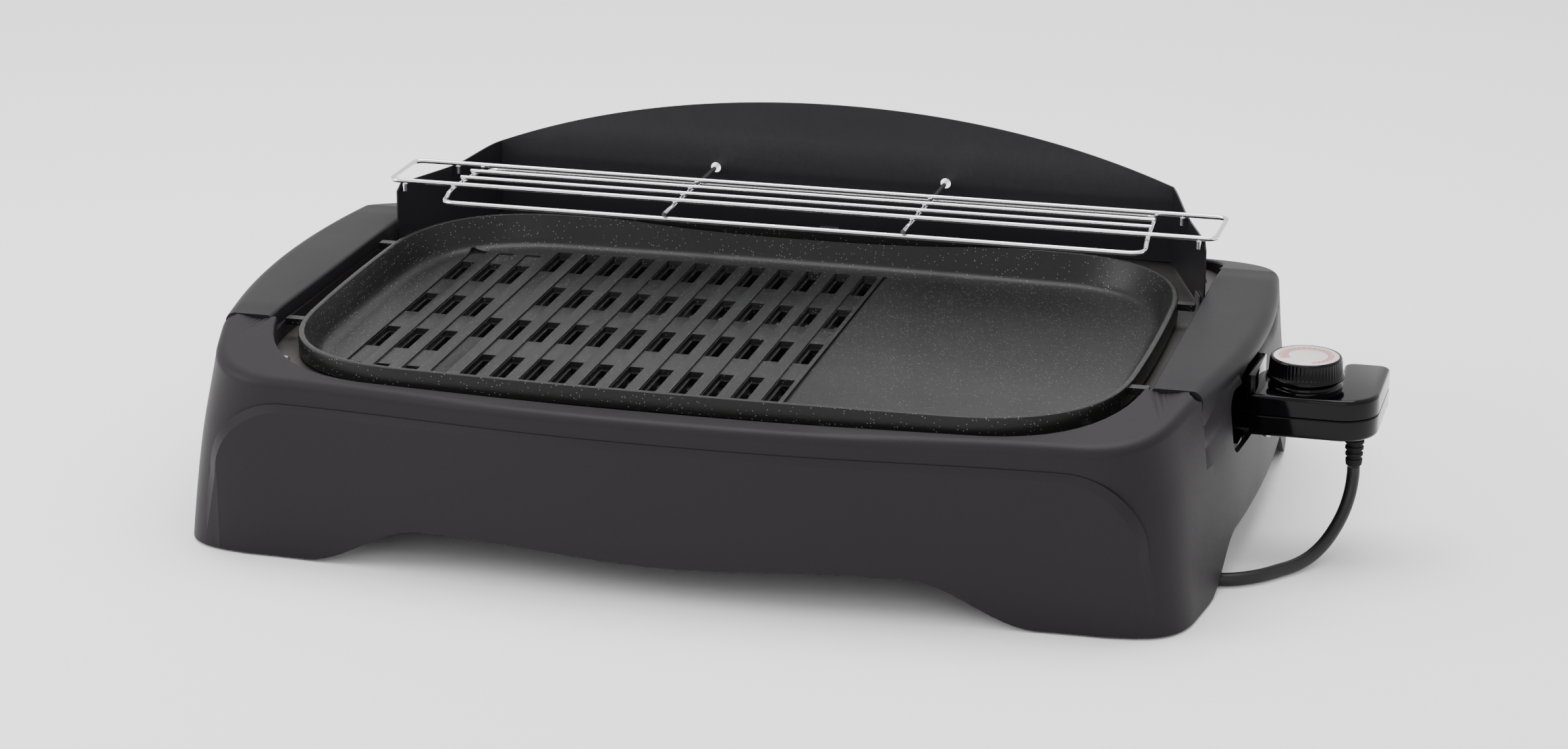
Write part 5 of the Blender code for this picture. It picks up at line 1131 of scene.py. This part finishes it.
line = smooth_line(ROUTE + coil_turns() + TAIL)
cord = wire("power_cord_line", line, CORD_D)
dress(cord, cord_rubber, "cord_rubber", "thermostat", "power_cord", "power_cord_tail", "cord_coil")

# %% [markdown]
# The relief that guards the cord's exit is a soft ribbed cone, so an outline is spun about its axis. The
# plug is moulded onto the far end and is flat rather than round, so it is lofted from flattened rings.

# %% Strain relief
RELIEF_RIBS, RIB_STEP = 5, 0.0036


def make_relief():
    """A cone of soft ribs that thins towards the cord."""
    top, bottom = RELIEF[1].z, RELIEF[0].z
    profile = [(0.0, top), (0.0058, top), (0.0058, top - 0.0014)]
    for k in range(RELIEF_RIBS):
        z = top - 0.0024 - k * RIB_STEP
        r = 0.0056 - 0.00022 * k
        profile += [(r - 0.0007, z), (r - 0.0007, z - 0.0010), (r, z - 0.0014), (r, z - 0.0028)]
    profile += [(0.0044, bottom + 0.0004), (0.0040, bottom), (0.0, bottom)]
    centre = ((RELIEF[0].x + RELIEF[1].x) / 2, (RELIEF[0].y + RELIEF[1].y) / 2)
    return finish_mesh(turned(profile, centre, 40), "strain_relief_skin")


dress(make_relief(), soft_rubber, "soft_rubber", "thermostat", "strain_relief")
print("relief:", round((RELIEF[1].z - RELIEF[0].z) * 1000, 1), "mm long")

# %% Plug
PLUG_AT = Vector((-0.0265, 0.3202))
PLUG_WAY = Vector((-0.96, -0.28)).normalized()
PLUG_Z = 0.0083


def plug_point(along, across, z):
    p = PLUG_AT + PLUG_WAY * along + Vector((-PLUG_WAY.y, PLUG_WAY.x)) * across
    return (p.x, p.y, z)


def make_plug():
    """A ribbed neck that swells into a flat oval head."""
    sections = [(0.0003, 0.0046, 0.0046)]
    for k in range(5):
        s = 0.0016 + k * 0.0024
        sections += [(s, 0.0050, 0.0050), (s + 0.0010, 0.0050, 0.0050),
                     (s + 0.0011, 0.0042, 0.0042), (s + 0.0022, 0.0042, 0.0042)]
    sections += [(0.0150, 0.0062, 0.0058), (0.0185, 0.0100, 0.0070), (0.0220, 0.0138, 0.0076),
                 (0.0260, 0.0160, 0.0079), (0.0340, 0.0169, 0.0080), (0.0430, 0.0171, 0.0080),
                 (0.0445, 0.0166, 0.0076), (0.0450, 0.0156, 0.0066)]
    rings = []
    for along, half_w, half_h in sections:
        ring = []
        for k in range(40):
            a = 2 * math.pi * k / 40
            c, s = math.cos(a), math.sin(a)
            ring.append(plug_point(along, half_w * math.copysign(abs(c) ** 0.75, c),
                                   PLUG_Z + half_h * math.copysign(abs(s) ** 0.75, s)))
        rings.append(ring)
    return finish_mesh(loft(rings), "plug_skin", 30)


plug = dress(make_plug(), cord_rubber, "cord_rubber", "thermostat", "plug_body")

# %% [markdown]
# ## Everything inside
# The element, its terminals, the steel frame, the tray and rails, the screws and the feet keep their own
# solids. Every node gets the finish that the record names for it, whether or not a skin stands for it.
# The aluminised steel is coloured nearly black, as painted shade for the gap round the plate.

# %% Finishes for the carried-over nodes
slot_finish = {
    "housing_plastic": housing_plastic, "handle_plastic": handle_plastic, "gloss_plastic": gloss_black,
    "nonstick_coating": coating, "painted_steel": guard_paint, "chrome_wire": chrome,
    # painted shade: the aluminised steel slot takes the darkened steel that stands for the shade in the gap
    # round the plate
    "bright_steel": bright_steel, "aluminised_steel": steel_painted_shade, "brass": brass, "ceramic": ceramic, "dial_face": ceramic,
    "soft_rubber": soft_rubber, "cord_rubber": cord_rubber}
slot_of = {part["node"]: part["material_slot"] for part in frame["record"]["subparts"]}
for name, node in nodes.items():
    node.data.materials.clear()
    node.data.materials.append(slot_finish[slot_of[name]])
    node.data.shade_smooth()
    node.data.set_sharp_from_angle(angle=math.radians(35))
print("nodes dressed:", len(nodes))

# %% [markdown]
# ## The floor
# A plain pale sheet, large enough that its edge never shows, and just below the feet.

# %% Floor
FLOOR_SIZE, FLOOR_DROP = 40.0, 0.0002
bm = bmesh.new()
bmesh.ops.create_grid(bm, x_segments=1, y_segments=1, size=FLOOR_SIZE)
floor = finish_mesh(bm, "floor")
floor.location.z = -FLOOR_DROP
floor_paint = bpy.data.materials.new("floor_paint")
floor_paint.use_nodes = True
floor_shader = floor_paint.node_tree.nodes["Principled BSDF"]
floor_shader.inputs["Base Color"].default_value = (0.96, 0.96, 0.96, 1.0)
floor_shader.inputs["Roughness"].default_value = 0.9
floor.data.materials.append(floor_paint)
print("floor laid")
